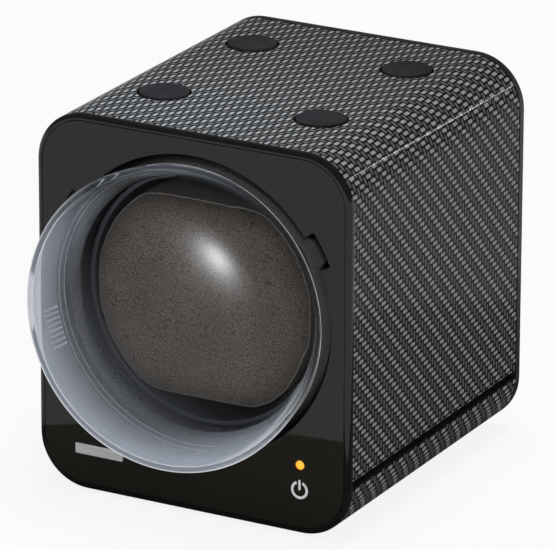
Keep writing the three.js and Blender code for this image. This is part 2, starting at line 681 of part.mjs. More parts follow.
function drumGear() {
  const wheel = gear(GEAR_TEETH, GEAR_Y, GEAR_Y + GEAR_THICK, SHAFT_R + GAP);
  const hub = rod(HUB_R, GEAR_Y + MERGE, PLATE_2 - 2 * GAP).subtract(rod(SHAFT_R + GAP, GEAR_Y, PLATE_2));
  const holesR = (HUB_R + (GEAR_MODULE * GEAR_TEETH) / 2 - GEAR_DEDENDUM * GEAR_MODULE) / 2;
  let lightened = wheel.add(hub);
  for (let i = 0; i < GEAR_HOLES; i += 1) {
    const angle = (i / GEAR_HOLES) * 2 * Math.PI;
    const [x, z] = [holesR * Math.cos(angle), holesR * Math.sin(angle)];
    lightened = lightened.subtract(rod(GEAR_HOLE_R, GEAR_Y - 1, GEAR_Y + GEAR_THICK + 1, x, z, 8));
  }
  return lightened;
}
piece('drum_gear', drumGear(), 'nylon', axis);

function retainingClip() {
  const outer = SHAFT_R + CLIP_WIDTH;
  const ring = tube(outer, SHAFT_R + GAP, CLIP_Y, CLIP_Y + CLIP_THICK, SMALL_ROUND);
  return ring.subtract(box(-CLIP_SLOT, CLIP_SLOT, CLIP_Y - 1, CLIP_Y + CLIP_THICK + 1, -2 * outer, 0));
}
piece('retaining_clip', retainingClip(), 'steel', axis);

function bearingBracket() {
  const foot = FLOOR_TOP + GAP;
  const top = AXIS_Z + BRACKET_OVER;
  const half = BRACKET_W / 2;
  const back = PLATE_2 + BRACKET_PLATE;
  let frame = box(-half, half, PLATE_1, back, foot, foot + BRACKET_BASE);
  for (const plate of [PLATE_1, PLATE_2]) {
    frame = frame.add(box(-half, half, plate, plate + BRACKET_PLATE, foot, top));
  }
  frame = frame.subtract(rod(BUSH_R + GAP, FRONT, BACK, 0, AXIS_Z));
  frame = frame.subtract(rod(MOTOR_SHAFT_R + MOTOR_SHAFT_PLAY, PLATE_2 - 1, BACK, 0, MOTOR_Z));
  for (const x of [-MOTOR_SCREW_X, MOTOR_SCREW_X]) {
    frame = frame.subtract(rod(SCREW_R + GAP, PLATE_2 - 1, BACK, x, MOTOR_Z, 12));
  }
  return frame;
}
piece('bearing_bracket', bearingBracket(), 'black');

function pinion() {
  const [y0, y1] = [GEAR_Y - PINION_OVER, GEAR_Y + GEAR_THICK + PINION_OVER];
  const halfTooth = Math.PI / PINION_TEETH; // so that a gap of the pinion meets a tooth of the gear
  return gear(PINION_TEETH, y0, y1, MOTOR_SHAFT_R + GAP, Math.PI / 2 + halfTooth);
}
piece('motor_pinion', pinion(), 'brass', motorAxis);
piece('motor_shaft', rod(MOTOR_SHAFT_R, GEAR_Y - 1, MOTOR_Y - GAP), 'steel', motorAxis);

function gearMotor() {
  const end = MOTOR_Y + MOTOR_LENGTH;
  let motor = rod(MOTOR_R, MOTOR_Y, end, 0, 0, 24).add(rod(MOTOR_CAP_R, end - MERGE, end + MOTOR_CAP));
  for (const x of [-MOTOR_SCREW_X, MOTOR_SCREW_X]) {
    motor = motor.subtract(rod(SCREW_R + GAP, MOTOR_Y - 1, MOTOR_Y + MOTOR_SCREW_DEPTH + 1, x, 0, 12));
  }
  return motor;
}
piece('gear_motor', gearMotor(), 'steel', motorAxis);

const motorScrew = screw(SCREW_R, SCREW_HEAD_R, SCREW_HEAD, SCREW_HEAD + BRACKET_PLATE + MOTOR_SCREW_DEPTH);
for (const [i, x] of [-MOTOR_SCREW_X, MOTOR_SCREW_X].entries()) {
  const mesh = piece(`motor_screw_${i + 1}`, motorScrew, 'steel', motorAxis);
  mesh.position.set(x, PLATE_2 - SCREW_HEAD - GAP, 0);
}

// --------------------------------------------------------------- electronics
function controlBoard() {
  const [x, y] = [BOARD_W / 2, BOARD_LENGTH / 2];
  return box(-x, x, BOARD_Y - y, BOARD_Y + y, BOARD_Z, BOARD_Z + BOARD_THICK);
}
piece('control_board', controlBoard(), 'board');

const partsZ = BOARD_Z + BOARD_THICK + GAP;

function controlChip() {
  const half = CHIP / 2;
  return box(CHIP_X - half, CHIP_X + half, BOARD_Y - half, BOARD_Y + half, partsZ, partsZ + CHIP_THICK);
}
piece('control_chip', controlChip(), 'black');
piece('capacitor', post(CAPACITOR_R, partsZ, partsZ + CAPACITOR_HEIGHT, CAPACITOR_X, BOARD_Y), 'steel');

// ---------------------------------------------------------------- rear cover
const SOCKET_Z = CASE_Z + SOCKET_HEIGHT;

function rearCover() {
  let cover = section(0, REAR_INSIDE, BACK);
  for (let i = 0; i < VENT_COUNT; i += 1) {
    const z = TOP_Z - VENT_BELOW_TOP - i * VENT_PITCH;
    const slot = roundedRect(VENT_WIDTH, VENT_SLOT, VENT_SLOT / 2 - 0.01, 0, z);
    cover = cover.subtract(slab(slot, REAR_INSIDE - 1, BACK + 1, { curveSegments: 2 }));
  }
  cover = cover.subtract(rod(JACK_R + GAP, REAR_INSIDE - 1, BACK + 1, JACK_X, SOCKET_Z));
  for (const x of [DIRECTION_X, PROGRAM_X]) {
    const half = KNOB_W / 2 + KNOB_TRAVEL + GAP;
    const [z0, z1] = [SOCKET_Z - KNOB_H / 2 - GAP, SOCKET_Z + KNOB_H / 2 + GAP];
    cover = cover.subtract(box(x - half, x + half, REAR_INSIDE - 1, BACK + 1, z0, z1));
  }
  for (const x of [-BOSS_X, BOSS_X]) {
    for (const z of BOSS_Z) {
      cover = cover.subtract(rod(SCREW_R + GAP, REAR_INSIDE - 1, BACK + 1, x, z));
      cover = cover.subtract(rod(SCREW_HEAD_R + GAP, BACK - SCREW_HEAD, BACK + 1, x, z));
    }
  }
  return cover;
}
piece('rear_cover', rearCover(), 'black');

function dcJack() {
  const start = BACK - JACK_LENGTH;
  const barrel = rod(JACK_R, start, BACK - JACK_SUNK, 0, 0, 16);
  const bore = rod(JACK_BORE_R, start + JACK_FLOOR, BACK + 1, 0, 0, 16);
  const pin = rod(JACK_PIN_R, start + JACK_FLOOR - MERGE, BACK - JACK_PIN_SUNK, 0, 0, 8);
  return barrel.subtract(bore).add(pin).translate(JACK_X, 0, SOCKET_Z);
}
piece('dc_jack', dcJack(), 'black');

// A slide switch: its body inside the cover and its knob through the slot.
function slideSwitch(name, x) {
  const back = REAR_INSIDE - GAP;
  const [w, h] = [SWITCH_W / 2, SWITCH_H / 2];
  piece(`${name}_switch`, box(x - w, x + w, back - SWITCH_BODY, back, SOCKET_Z - h, SOCKET_Z + h), 'steel');
  const knob = box(-KNOB_W / 2, KNOB_W / 2, REAR_INSIDE, BACK + KNOB_OUT, -KNOB_H / 2, KNOB_H / 2);
  piece(`${name}_knob`, knob, 'black').position.set(x, 0, SOCKET_Z);
}
slideSwitch('direction', DIRECTION_X);
slideSwitch('program', PROGRAM_X);

// ---------------------------------------------------- plugs, feet and screws
function stackingPlug() {
  const z0 = TOP_Z - PLUG_DEPTH;
  const z1 = TOP_Z + PLUG_PROUD;
  const body = post(PLUG_R, z0, z1 - PLUG_EDGE, 0, 0, 20);
  const plug = body.add(post(PLUG_R - PLUG_EDGE, z1 - MERGE, z1, 0, 0, 20));
  const pry = box(-PRY_HALF, PRY_HALF, PLUG_R - PRY_DEPTH, PLUG_R + 1, TOP_Z - 1, z1 + 1);
  return plug.subtract(pry);
}
const plugSolid = stackingPlug();
for (const [i, [x, y]] of plugPlaces.entries()) {
  piece(`stacking_plug_${i + 1}`, plugSolid, 'rubber').position.set(x, y, 0);
}

const footSolid = post(FOOT_R, GAP, CASE_Z + FOOT_SUNK).add(post(FOOT_R - FOOT_EDGE, 0, MERGE));
for (const [i, [x, y]] of footPlaces.entries()) {
  piece(`rubber_foot_${i + 1}`, footSolid, 'rubber').position.set(x, y, 0);
}

const rearScrew = screw(SCREW_R, SCREW_HEAD_R, SCREW_HEAD - GAP, SCREW_LENGTH - GAP);
let screwCount = 0;
for (const z of BOSS_Z) {
  for (const x of [-BOSS_X, BOSS_X]) {
    screwCount += 1;
    const mesh = piece(`rear_screw_${screwCount}`, rearScrew, 'steel');
    mesh.rotation.z = Math.PI;
    mesh.position.set(x, BACK - JACK_SUNK / 2, z);
  }
}

const baseScrew = screw(SCREW_R, SCREW_HEAD_R, BASE_SCREW_HEAD, BASE_SCREW_TOP - CASE_Z - GAP);
for (const [i, [x, y]] of baseScrewPlaces.entries()) {
  const mesh = piece(`base_screw_${i + 1}`, baseScrew, 'steel');
  mesh.rotation.x = Math.PI / 2;
  mesh.position.set(x, y, CASE_Z + GAP);
}

export default group;
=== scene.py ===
# %% [markdown]
# # A watch winder box
# The object is a small box that turns a watch so that it stays wound. A case wrapped in a carbon
# look film holds a glossy front panel, and a clear dome closes over a leather cushion in a turning
# cup. The moving frame of the box comes ready made, in metres, so every size here is read from it.

# %% Load the frame
import json
import math
import bmesh
import bpy
from mathutils import Matrix, Vector


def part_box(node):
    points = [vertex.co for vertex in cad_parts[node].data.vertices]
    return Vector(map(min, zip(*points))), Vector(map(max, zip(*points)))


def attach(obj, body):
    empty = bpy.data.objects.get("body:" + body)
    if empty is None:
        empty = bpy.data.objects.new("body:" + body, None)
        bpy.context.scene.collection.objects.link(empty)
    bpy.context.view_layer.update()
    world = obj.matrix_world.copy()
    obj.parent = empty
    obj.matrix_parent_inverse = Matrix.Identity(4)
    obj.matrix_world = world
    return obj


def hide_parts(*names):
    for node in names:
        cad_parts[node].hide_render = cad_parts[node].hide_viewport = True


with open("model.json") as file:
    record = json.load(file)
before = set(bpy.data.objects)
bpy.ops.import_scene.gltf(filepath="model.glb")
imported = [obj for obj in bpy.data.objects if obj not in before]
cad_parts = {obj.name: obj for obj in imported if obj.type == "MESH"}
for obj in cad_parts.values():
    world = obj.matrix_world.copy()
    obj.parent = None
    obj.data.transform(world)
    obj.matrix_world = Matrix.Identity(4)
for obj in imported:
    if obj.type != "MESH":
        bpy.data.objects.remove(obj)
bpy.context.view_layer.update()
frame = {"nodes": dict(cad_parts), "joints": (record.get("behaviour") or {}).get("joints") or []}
MM = 0.001
joints = {joint["name"]: joint for joint in frame["joints"]}

# %% [markdown]
# ## Sizes
# Each place comes from a part of the frame. The case's outline is the rear cover's, the dome and
# the cup turn on one axis, and the gaps between the parts show how thick each wall is.

# %% Read the sizes
case_low, case_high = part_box("rear_cover")
WIDTH = case_high.x - case_low.x
CASE_Z0, CASE_Z1 = case_low.z, case_high.z
HEIGHT = CASE_Z1 - CASE_Z0
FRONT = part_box("bezel_upper")[0].y
BACK = case_high.y
AXIS_Z = joints["drum_spin"]["pos_m"][2]
SHELL_LOW, SHELL_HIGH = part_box("upper_shell")
TRAY_LOW, TRAY_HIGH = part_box("base_tray")
PANEL_LOW, PANEL_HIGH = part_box("front_panel")
BEZEL_WIDTH = PANEL_LOW.x - case_low.x
CORNER = 16.75 * MM
WALL = 2.5 * MM
GAP = 0.3 * MM
CORNER_STEPS = 20
NEAR = 0.01 * MM  # how close a point has to be to count as on a plane
PAST = 1 * MM  # how far a cutting shape reaches past what it cuts
print(f"case {WIDTH:.4f} x {BACK - FRONT:.4f} x {HEIGHT:.4f} m, axis at z = {AXIS_Z:.4f}")


def radii_at(node, y, within=0.02 * MM):
    """Smallest and largest distance from the dome's axis of a node's points at one depth."""
    found = []
    for vertex in frame["nodes"][node].data.vertices:
        if abs(vertex.co.y - y) < within:
            found.append(math.hypot(vertex.co.x, vertex.co.z - AXIS_Z))
    return min(found), max(found)


def middle_of(node):
    low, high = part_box(node)
    return (low + high) / 2


def half_width(node):
    low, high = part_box(node)
    return (high.x - low.x) / 2


# %% [markdown]
# ## Camera
# A long lens, a little to the right of the front and looking down on it, keeps the box's edges
# nearly parallel. The camera goes on a line from the point it looks at.

# %% Camera
AZIMUTH, ELEVATION, ROLL = 28.6126, 19.7385, 0.1728  # degrees
LENS_MM, SENSOR_MM = 386.85, 36.0
DISTANCE = 1.8554
LOOK_AT = Vector((0.01068, -0.02278, 0.06955))

turn_to_view = (
    Matrix.Rotation(math.radians(AZIMUTH), 4, "Z")
    @ Matrix.Rotation(math.radians(90 - ELEVATION), 4, "X")
    @ Matrix.Rotation(math.radians(ROLL), 4, "Z")
)
bpy.ops.object.camera_add()
camera = bpy.context.object
camera.name = "main_camera"
camera.data.lens = LENS_MM
camera.data.sensor_width = SENSOR_MM
camera.data.clip_end = 50
camera.matrix_world = Matrix.Translation(LOOK_AT) @ turn_to_view @ Matrix.Translation((0, 0, DISTANCE))
bpy.context.scene.camera = camera
print("camera at", tuple(round(v, 3) for v in camera.matrix_world.translation))

# %% [markdown]
# ## Tools
# A few helpers do what a modeller does by hand: pick faces or edges by where they are, draw a
# ring of points and pull it along to turn a shape, cut one shape with another, and round edges.


# %% Select and edit
def only(obj):
    """Make obj the one selected, active object."""
    if bpy.context.object and bpy.context.object.mode != "OBJECT":
        bpy.ops.object.mode_set(mode="OBJECT")
    bpy.ops.object.select_all(action="DESELECT")
    obj.select_set(True)
    bpy.context.view_layer.objects.active = obj


def edit(obj):
    only(obj)
    bpy.ops.object.mode_set(mode="EDIT")


def done():
    bpy.ops.object.mode_set(mode="OBJECT")


def pick(obj, kind, test):
    """In edit mode, select the edges or faces whose element passes a test. Returns how many."""
    bpy.ops.mesh.select_mode(type={"edges": "EDGE", "faces": "FACE"}[kind])
    bpy.ops.mesh.select_all(action="DESELECT")
    mesh = bmesh.from_edit_mesh(obj.data)
    chosen = [element for element in getattr(mesh, kind) if test(element)]
    for element in chosen:
        element.select_set(True)
    mesh.select_flush_mode()
    bmesh.update_edit_mesh(obj.data)
    return len(chosen)


def middle(edge):
    return (edge.verts[0].co + edge.verts[1].co) / 2


def along(edge, axis):
    """How far an edge runs along an axis: 1 when it is parallel to it."""
    way = edge.verts[1].co - edge.verts[0].co
    return abs(way.normalized()[axis]) if way.length > 0 else 0


def lengthwise(edge):
    return along(edge, 1) > 0.99


def is_sharp(edge):
    """Whether two faces meet at an edge at more than a radian."""
    return len(edge.link_faces) == 2 and edge.calc_face_angle(0) > 1.0


def round_edges(obj, test, width, steps):
    """Bevel the edges that pass a test. Returns how many they were."""
    edit(obj)
    count = pick(obj, "edges", test)
    bpy.ops.mesh.bevel(offset=width, segments=steps, affect="EDGES")
    done()
    return count


def settle(obj, name):
    """Put an object's place into its mesh, merge doubles, face it outwards and name it."""
    only(obj)
    bpy.ops.object.transform_apply(location=True, rotation=True, scale=True)
    edit(obj)
    bpy.ops.mesh.select_all(action="SELECT")
    bpy.ops.mesh.remove_doubles(threshold=0.002 * MM)
    bpy.ops.mesh.normals_make_consistent(inside=False)
    done()
    obj.name = name
    obj.data.name = name
    return obj


def modify(obj, kind, **values):
    """Add a modifier, set it and apply it."""
    only(obj)
    modifier = obj.modifiers.new(kind.lower(), kind)
    for key, value in values.items():
        setattr(modifier, key, value)
    bpy.ops.object.modifier_apply(modifier=modifier.name)
    return obj


def cut(obj, cutter, operation="DIFFERENCE"):
    """Cut one shape with another, or join it, and clear the cutter away."""
    modify(obj, "BOOLEAN", object=cutter, operation=operation, solver="EXACT")
    bpy.data.objects.remove(cutter)
    return obj


def soften(obj, width, segments=2, angle=32):
    """Round every edge sharper than an angle, then shade the surface smooth."""
    modify(
        obj, "BEVEL", width=width, segments=segments, limit_method="ANGLE",
        angle_limit=math.radians(angle),
    )
    return smooth(obj)


def smooth(obj, angle=40):
    only(obj)
    bpy.ops.object.shade_smooth_by_angle(angle=math.radians(angle))
    return obj


# %% Blocks, rods and turned shapes
def block(low, high):
    """A box between two corners."""
    low, high = Vector(low), Vector(high)
    bpy.ops.object.select_all(action="DESELECT")
    bpy.ops.mesh.primitive_cube_add(size=1, location=(low + high) / 2)
    made = bpy.context.object
    made.scale = high - low
    only(made)
    bpy.ops.object.transform_apply(location=True, rotation=True, scale=True)
    return made


def cylinder(radius, length, place, sides, turn):
    bpy.ops.object.select_all(action="DESELECT")
    bpy.ops.mesh.primitive_cylinder_add(
        vertices=sides, radius=radius, depth=length, location=place, rotation=(turn, 0, 0),
    )
    bpy.ops.object.transform_apply(location=True, rotation=True, scale=True)
    return bpy.context.object


def rod(radius, y0, y1, x=0, z=0, sides=64):
    """A cylinder along Y."""
    return cylinder(radius, y1 - y0, (x, (y0 + y1) / 2, z), sides, math.pi / 2)


def post(radius, z0, z1, x=0, y=0, sides=64):
    """A cylinder along Z."""
    return cylinder(radius, z1 - z0, (x, y, (z0 + z1) / 2), sides, 0)


def turned(profile, sides=128, x=0, z=None, closed=True):
    """Turn a profile of (radius, y) points round an axis along Y. The profile is drawn by pulling
    one point along it, then spun. An open profile starts and ends on the axis."""
    z = AXIS_Z if z is None else z
    radius, depth = profile[0]
    bpy.ops.object.select_all(action="DESELECT")
    bpy.ops.mesh.primitive_plane_add(size=1 * MM, location=(0, 0, 0))
    made = bpy.context.object
    edit(made)
    bpy.ops.mesh.select_mode(type="VERT")
    bpy.ops.mesh.select_all(action="SELECT")
    bpy.ops.mesh.merge(type="CENTER")
    bpy.ops.transform.translate(value=(x + radius, depth, z))
    for next_radius, next_depth in profile[1:] + (profile[:1] if closed else []):
        step = (next_radius - radius, next_depth - depth, 0)
        bpy.ops.mesh.extrude_region_move(TRANSFORM_OT_translate={"value": step})
        radius, depth = next_radius, next_depth
    bpy.ops.mesh.select_all(action="SELECT")
    bpy.ops.mesh.remove_doubles(threshold=0.001 * MM)
    bpy.ops.mesh.spin(steps=sides, angle=2 * math.pi, center=(x, 0, z), axis=(0, 1, 0))
    bpy.ops.mesh.select_all(action="SELECT")
    bpy.ops.mesh.remove_doubles(threshold=0.004 * MM)
    bpy.ops.mesh.normals_make_consistent(inside=False)
    done()
    return made


def crown_line(radius, rise, step, y=0.0):
    """The profile of a domed front, from its tip to its rim, a step of degrees at a time."""
    turns = [math.radians(angle) for angle in range(0, 91, step)]
    return [(radius * math.sin(t), y + rise * (1 - math.cos(t))) for t in turns]


def hoop(inner, outer, y0, y1, sides, x=0, z=None):
    """A ring with a square section, between two radii and two depths."""
    return turned([(inner, y0), (outer, y0), (outer, y1), (inner, y1)], sides, x, z)


def rounded_case(inset, y0, y1):
    """A solid with the case's section, set in by a distance, between two depths."""
    made = block((-WIDTH / 2 + inset, y0, CASE_Z0 + inset), (WIDTH / 2 - inset, y1, CASE_Z1 - inset))
    round_edges(made, lengthwise, CORNER - inset, CORNER_STEPS)
    return made


def case_sleeve(inset, thickness, y0, y1):
    """The case's section as an open sleeve, with its wall inside the outline."""
    made = rounded_case(inset, y0, y1)
    edit(made)
    pick(made, "faces", lambda f: abs(f.normal.y) > 0.99)
    bpy.ops.mesh.delete(type="FACE")
    bpy.ops.mesh.select_all(action="SELECT")
    bpy.ops.mesh.normals_make_consistent(inside=False)
    done()
    return modify(made, "SOLIDIFY", thickness=thickness, offset=-1, use_even_offset=True)


def slice_off(obj, z, keep_above):
    """Cut an object with a level plane and close the cut."""
    edit(obj)
    bpy.ops.mesh.select_all(action="SELECT")
    bpy.ops.mesh.bisect(
        plane_co=(0, 0, z), plane_no=(0, 0, 1), use_fill=True,
        clear_inner=keep_above, clear_outer=not keep_above,
    )
    done()
    return obj


def paint(obj, *materials):
    """Give an object its materials, in slot order."""
    obj.data.materials.clear()
    for material in materials:
        obj.data.materials.append(material)
    return obj


def fit_piece(obj, name, body, slot, *nodes):
    """Finish a new piece: settle it, ride it on its body and hide the frame's parts that it stands for."""
    settle(obj, name)
    modify(obj, "WEIGHTED_NORMAL", keep_sharp=True)  # so that flat faces shade flat up to their edges
    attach(obj, body)
    if nodes:
        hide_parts(*nodes)
    print(f"{name}: {len(obj.data.polygons)} faces on {body}")
    return obj


# %% [markdown]
# ## Finishes
# A finish is a small network of shader nodes. The helper below writes one down as a list of sums,
# and the effects that several finishes share, such as grain or fine scratches, are node groups.


# %% Node helpers
class Recipe:
    """Adds nodes to a node tree and joins them: a value is a number, a colour or another output."""

    def __init__(self, tree, clear=True):
        self.tree = tree
        if clear:
            tree.nodes.clear()

    def add(self, kind, inputs=None, **settings):
        node = self.tree.nodes.new("ShaderNode" + kind)
        for name, value in settings.items():
            setattr(node, name, value)
        for name, value in (inputs or {}).items():
            self.join(value, node.inputs[name])
        return node

    def join(self, value, socket):
        if isinstance(value, bpy.types.NodeSocket):
            self.tree.links.new(value, socket)
        else:
            socket.default_value = value

    def show(self, shader):
        """Send a shader to the material's output."""
        output = next(node for node in self.tree.nodes if node.type == "OUTPUT_MATERIAL")
        self.join(shader, output.inputs[0])

    def sum(self, operation, a, b=0.0, c=0.0):
        return self.add("Math", {0: a, 1: b, 2: c}, operation=operation).outputs[0]

    def mix(self, factor, a, b):
        return self.add("Mix", {0: factor, 6: a, 7: b}, data_type="RGBA").outputs[2]

    def blend(self, factor, a, b):
        """Mix two shaders."""
        return self.add("MixShader", {0: factor, 1: a, 2: b}).outputs[0]

    def ease(self, value, low, high, start=0.0, end=1.0):
        settings = {0: value, 1: low, 2: high, 3: start, 4: end}
        node = self.add("MapRange", settings, interpolation_type="SMOOTHSTEP")
        return node.outputs[0]

    def noise(self, place, scale, detail=3.0, roughness=0.5):
        settings = {"Vector": place, "Scale": scale, "Detail": detail, "Roughness": roughness}
        return self.add("TexNoise", settings).outputs["Fac"]

    def stretch(self, place, x, y, z):
        return self.add("VectorMath", {0: place, 1: (x, y, z)}, operation="MULTIPLY").outputs[0]

    def split(self, place):
        return self.add("SeparateXYZ", {0: place}).outputs


def effect(name, takes, gives):
    """A node group that other finishes use. takes and gives are (name, kind, default) lists."""
    tree = bpy.data.node_groups.new(name, "ShaderNodeTree")
    recipe = Recipe(tree)
    for label, kind, value in takes:
        socket = tree.interface.new_socket(label, in_out="INPUT", socket_type="NodeSocket" + kind)
        if value is not None:
            socket.default_value = value
    for label, kind in gives:
        tree.interface.new_socket(label, in_out="OUTPUT", socket_type="NodeSocket" + kind)
    source = tree.nodes.new("NodeGroupInput")
    result = tree.nodes.new("NodeGroupOutput")
    return recipe, source.outputs, result.inputs


def use(recipe, name, inputs):
    node = recipe.add("Group", node_tree=bpy.data.node_groups[name])
    for label, value in inputs.items():
        recipe.join(value, node.inputs[label])
    return node.outputs


def finish(name, constants):
    """A new material with its Principled BSDF, whose constants are set on its own sockets."""
    material = bpy.data.materials.new(name)
    material.use_nodes = True
    recipe = Recipe(material.node_tree)
    shader = recipe.add("BsdfPrincipled", constants)
    recipe.add("OutputMaterial")
    recipe.show(shader.outputs[0])
    place = recipe.add("TexCoord").outputs["Object"]
    return material, recipe, shader, place


def dress(recipe, shader, colour, roughness=None):
    recipe.join(colour, shader.inputs["Base Color"])
    if roughness is not None:
        recipe.join(roughness, shader.inputs["Roughness"])


def bump(recipe, shader, height, distance, strength=1.0):
    settings = {"Height": height, "Distance": distance, "Strength": strength}
    normal = recipe.add("Bump", settings).outputs[0]
    recipe.join(normal, shader.inputs["Normal"])


# %% Shared effects
# Fine grain: a moulded or painted surface is never quite even.
recipe, given, result = effect(
    "fine_grain",
    [("Place", "Vector", None), ("Scale", "Float", 3000.0)],
    [("Height", "Float"), ("Tone", "Float")],
)
grain = recipe.noise(given["Place"], given["Scale"], 4.0, 0.6)
cloud = recipe.noise(given["Place"], recipe.sum("MULTIPLY", given["Scale"], 0.02), 2.0)
recipe.join(grain, result["Height"])
recipe.join(recipe.ease(cloud, 0.3, 0.7), result["Tone"])

# Handling: faint smudges and hairline scratches change how rough a surface is.
recipe, given, result = effect(
    "handling",
    [("Place", "Vector", None), ("Low", "Float", 0.05), ("High", "Float", 0.1)],
    [("Roughness", "Float")],
)
smudge = recipe.noise(given["Place"], 55.0, 5.0, 0.62)
long_way = recipe.stretch(given["Place"], 60.0, 900.0, 2600.0)
hairline = recipe.ease(recipe.noise(long_way, 1.0, 2.0), 0.66, 0.74)
limits = {0: smudge, 1: 0.35, 2: 0.7, 3: given["Low"], 4: given["High"]}
rough = recipe.add("MapRange", limits).outputs[0]
recipe.join(recipe.sum("ADD", rough, recipe.sum("MULTIPLY", hairline, 0.04)), result["Roughness"])

# Brushed metal: long thin lines along one way.
recipe, given, result = effect(
    "brushed_lines", [("Place", "Vector", None)], [("Height", "Float"), ("Tone", "Float")]
)
lines = recipe.noise(recipe.stretch(given["Place"], 120.0, 4000.0, 9000.0), 1.0, 3.0)
recipe.join(lines, result["Height"])
recipe.join(recipe.ease(lines, 0.3, 0.7), result["Tone"])

# Leather: cells of many sizes with creases between them.
recipe, given, result = effect(
    "leather_grain", [("Place", "Vector", None)], [("Height", "Float"), ("Crease", "Float")]
)
bend = recipe.add("TexNoise", {"Vector": given["Place"], "Scale": 420.0, "Detail": 3.0}).outputs["Color"]
bent = recipe.add(
    "VectorMath", {0: bend, 1: (0.0016, 0.0016, 0.0016), 2: given["Place"]}, operation="MULTIPLY_ADD"
).outputs[0]
cells = recipe.add("TexVoronoi", {"Vector": bent, "Scale": 820.0}, feature="DISTANCE_TO_EDGE").outputs[0]
fine = recipe.add("TexVoronoi", {"Vector": bent, "Scale": 1700.0}, feature="DISTANCE_TO_EDGE").outputs[0]
crease = recipe.ease(cells, 0.0, 0.13)
small = recipe.ease(fine, 0.0, 0.2)
recipe.join(recipe.sum("MULTIPLY_ADD", small, 0.35, crease), result["Height"])
recipe.join(recipe.sum("MULTIPLY", crease, recipe.ease(small, -0.6, 1.0)), result["Crease"])
print("shared effects:", [group.name for group in bpy.data.node_groups])

# %% [markdown]
# ## The carbon look
# The film is printed with a 2/2 twill: each float passes over two threads and under two, and each
# row is one step further on. Floats along the depth catch the light, floats round the case don't.
# The pattern is worked out from a map of the case unrolled, so it bends round the corners.

# %% Twill weave
PERIODS = 61  # whole repeats of the weave round the case, four threads each
OUTLINE = 2 * (WIDTH + HEIGHT) - 8 * CORNER + 2 * math.pi * CORNER
CELL = OUTLINE / (4 * PERIODS)
print("one thread is", round(CELL / MM, 3), "mm wide")
recipe, given, result = effect(
    "twill_weave", [("Map", "Vector", None)], [("Weft", "Float"), ("Thread", "Float"), ("Shine", "Float")]
)
wobble = recipe.noise(given["Map"], 0.9, 2.0)
axes = recipe.split(given["Map"])
wobble = recipe.sum("SUBTRACT", wobble, 0.5)
across = recipe.sum("MULTIPLY_ADD", wobble, 0.10, axes[0])
around = recipe.sum("MULTIPLY_ADD", wobble, 0.10, axes[1])
col, row = recipe.sum("FLOOR", across), recipe.sum("FLOOR", around)


def wrapped(value, length):
    """The remainder of a value that may be negative."""
    whole = recipe.sum("FLOOR", recipe.sum("DIVIDE", value, length))
    return recipe.sum("SUBTRACT", value, recipe.sum("MULTIPLY", whole, length))


def thread_shade(position, side, reach):
    """A float is brightest in its middle, falls off at its ends and is round across."""
    ends = recipe.sum("ABSOLUTE", recipe.sum("SUBTRACT", position, 1.0))
    along_float = recipe.ease(ends, 1.0, reach)
    edge = recipe.sum("ABSOLUTE", recipe.sum("SUBTRACT", side, 0.5))
    return recipe.sum("MULTIPLY", along_float, recipe.ease(edge, 0.50, 0.13))


phase = wrapped(recipe.sum("SUBTRACT", col, row), 4.0)
weft = recipe.sum("LESS_THAN", phase, 1.5)
weft_at = wrapped(recipe.sum("SUBTRACT", across, row), 4.0)
warp_at = wrapped(recipe.sum("ADD", recipe.sum("SUBTRACT", around, col), 3.0), 4.0)
weft_shade = thread_shade(weft_at, recipe.sum("FRACT", around), 0.52)
warp_shade = thread_shade(warp_at, recipe.sum("FRACT", across), 0.44)
both = recipe.add("Mix", {0: weft, 2: warp_shade, 3: weft_shade}).outputs[0]
fibres_weft = recipe.noise(recipe.stretch(given["Map"], 0.7, 11.0, 1.0), 1.0, 2.0)
fibres_warp = recipe.noise(recipe.stretch(given["Map"], 11.0, 0.7, 1.0), 1.0, 2.0)
fibres = recipe.add("Mix", {0: weft, 2: fibres_warp, 3: fibres_weft}).outputs[0]
recipe.join(weft, result["Weft"])
recipe.join(both, result["Thread"])
recipe.join(recipe.ease(fibres, 0.3, 0.7, 0.8, 1.12), result["Shine"])

carbon, recipe, shader, place = finish(
    "carbon_film",
    {"IOR": 1.5, "Coat Weight": 0.08, "Coat Roughness": 0.05, "Coat IOR": 1.5, "Specular IOR Level": 0.02},
)
unrolled = recipe.add("UVMap", uv_map="unrolled").outputs[0]
weave = use(recipe, "twill_weave", {"Map": unrolled})
bright = recipe.mix(weave["Weft"], (0.108, 0.107, 0.106, 1), (0.295, 0.292, 0.288, 1))
shade = recipe.sum("MULTIPLY", weave["Thread"], weave["Shine"])
colour = recipe.mix(recipe.ease(shade, 0.0, 1.0), (0.004, 0.004, 0.004, 1), bright)
handled = use(recipe, "handling", {"Place": place, "Low": 0.34, "High": 0.42})
dress(recipe, shader, colour, handled["Roughness"])
bump(recipe, shader, weave["Thread"], 0.03 * MM, 0.35)

inside_film, recipe, shader, place = finish("case_inside", {"Roughness": 0.6, "IOR": 1.45})
grain = use(recipe, "fine_grain", {"Place": place, "Scale": 2600.0})
dress(recipe, shader, recipe.mix(grain["Tone"], (0.011, 0.011, 0.011, 1), (0.017, 0.017, 0.017, 1)))
bump(recipe, shader, grain["Height"], 0.03 * MM, 0.5)


# %% [markdown]
# ## Plastics, metals, rubber and leather
# The front is polished black plastic, the hidden parts are moulded in a fine matte texture, and
# the small metal parts are plated. Each gets its own depth of texture and its own unevenness.


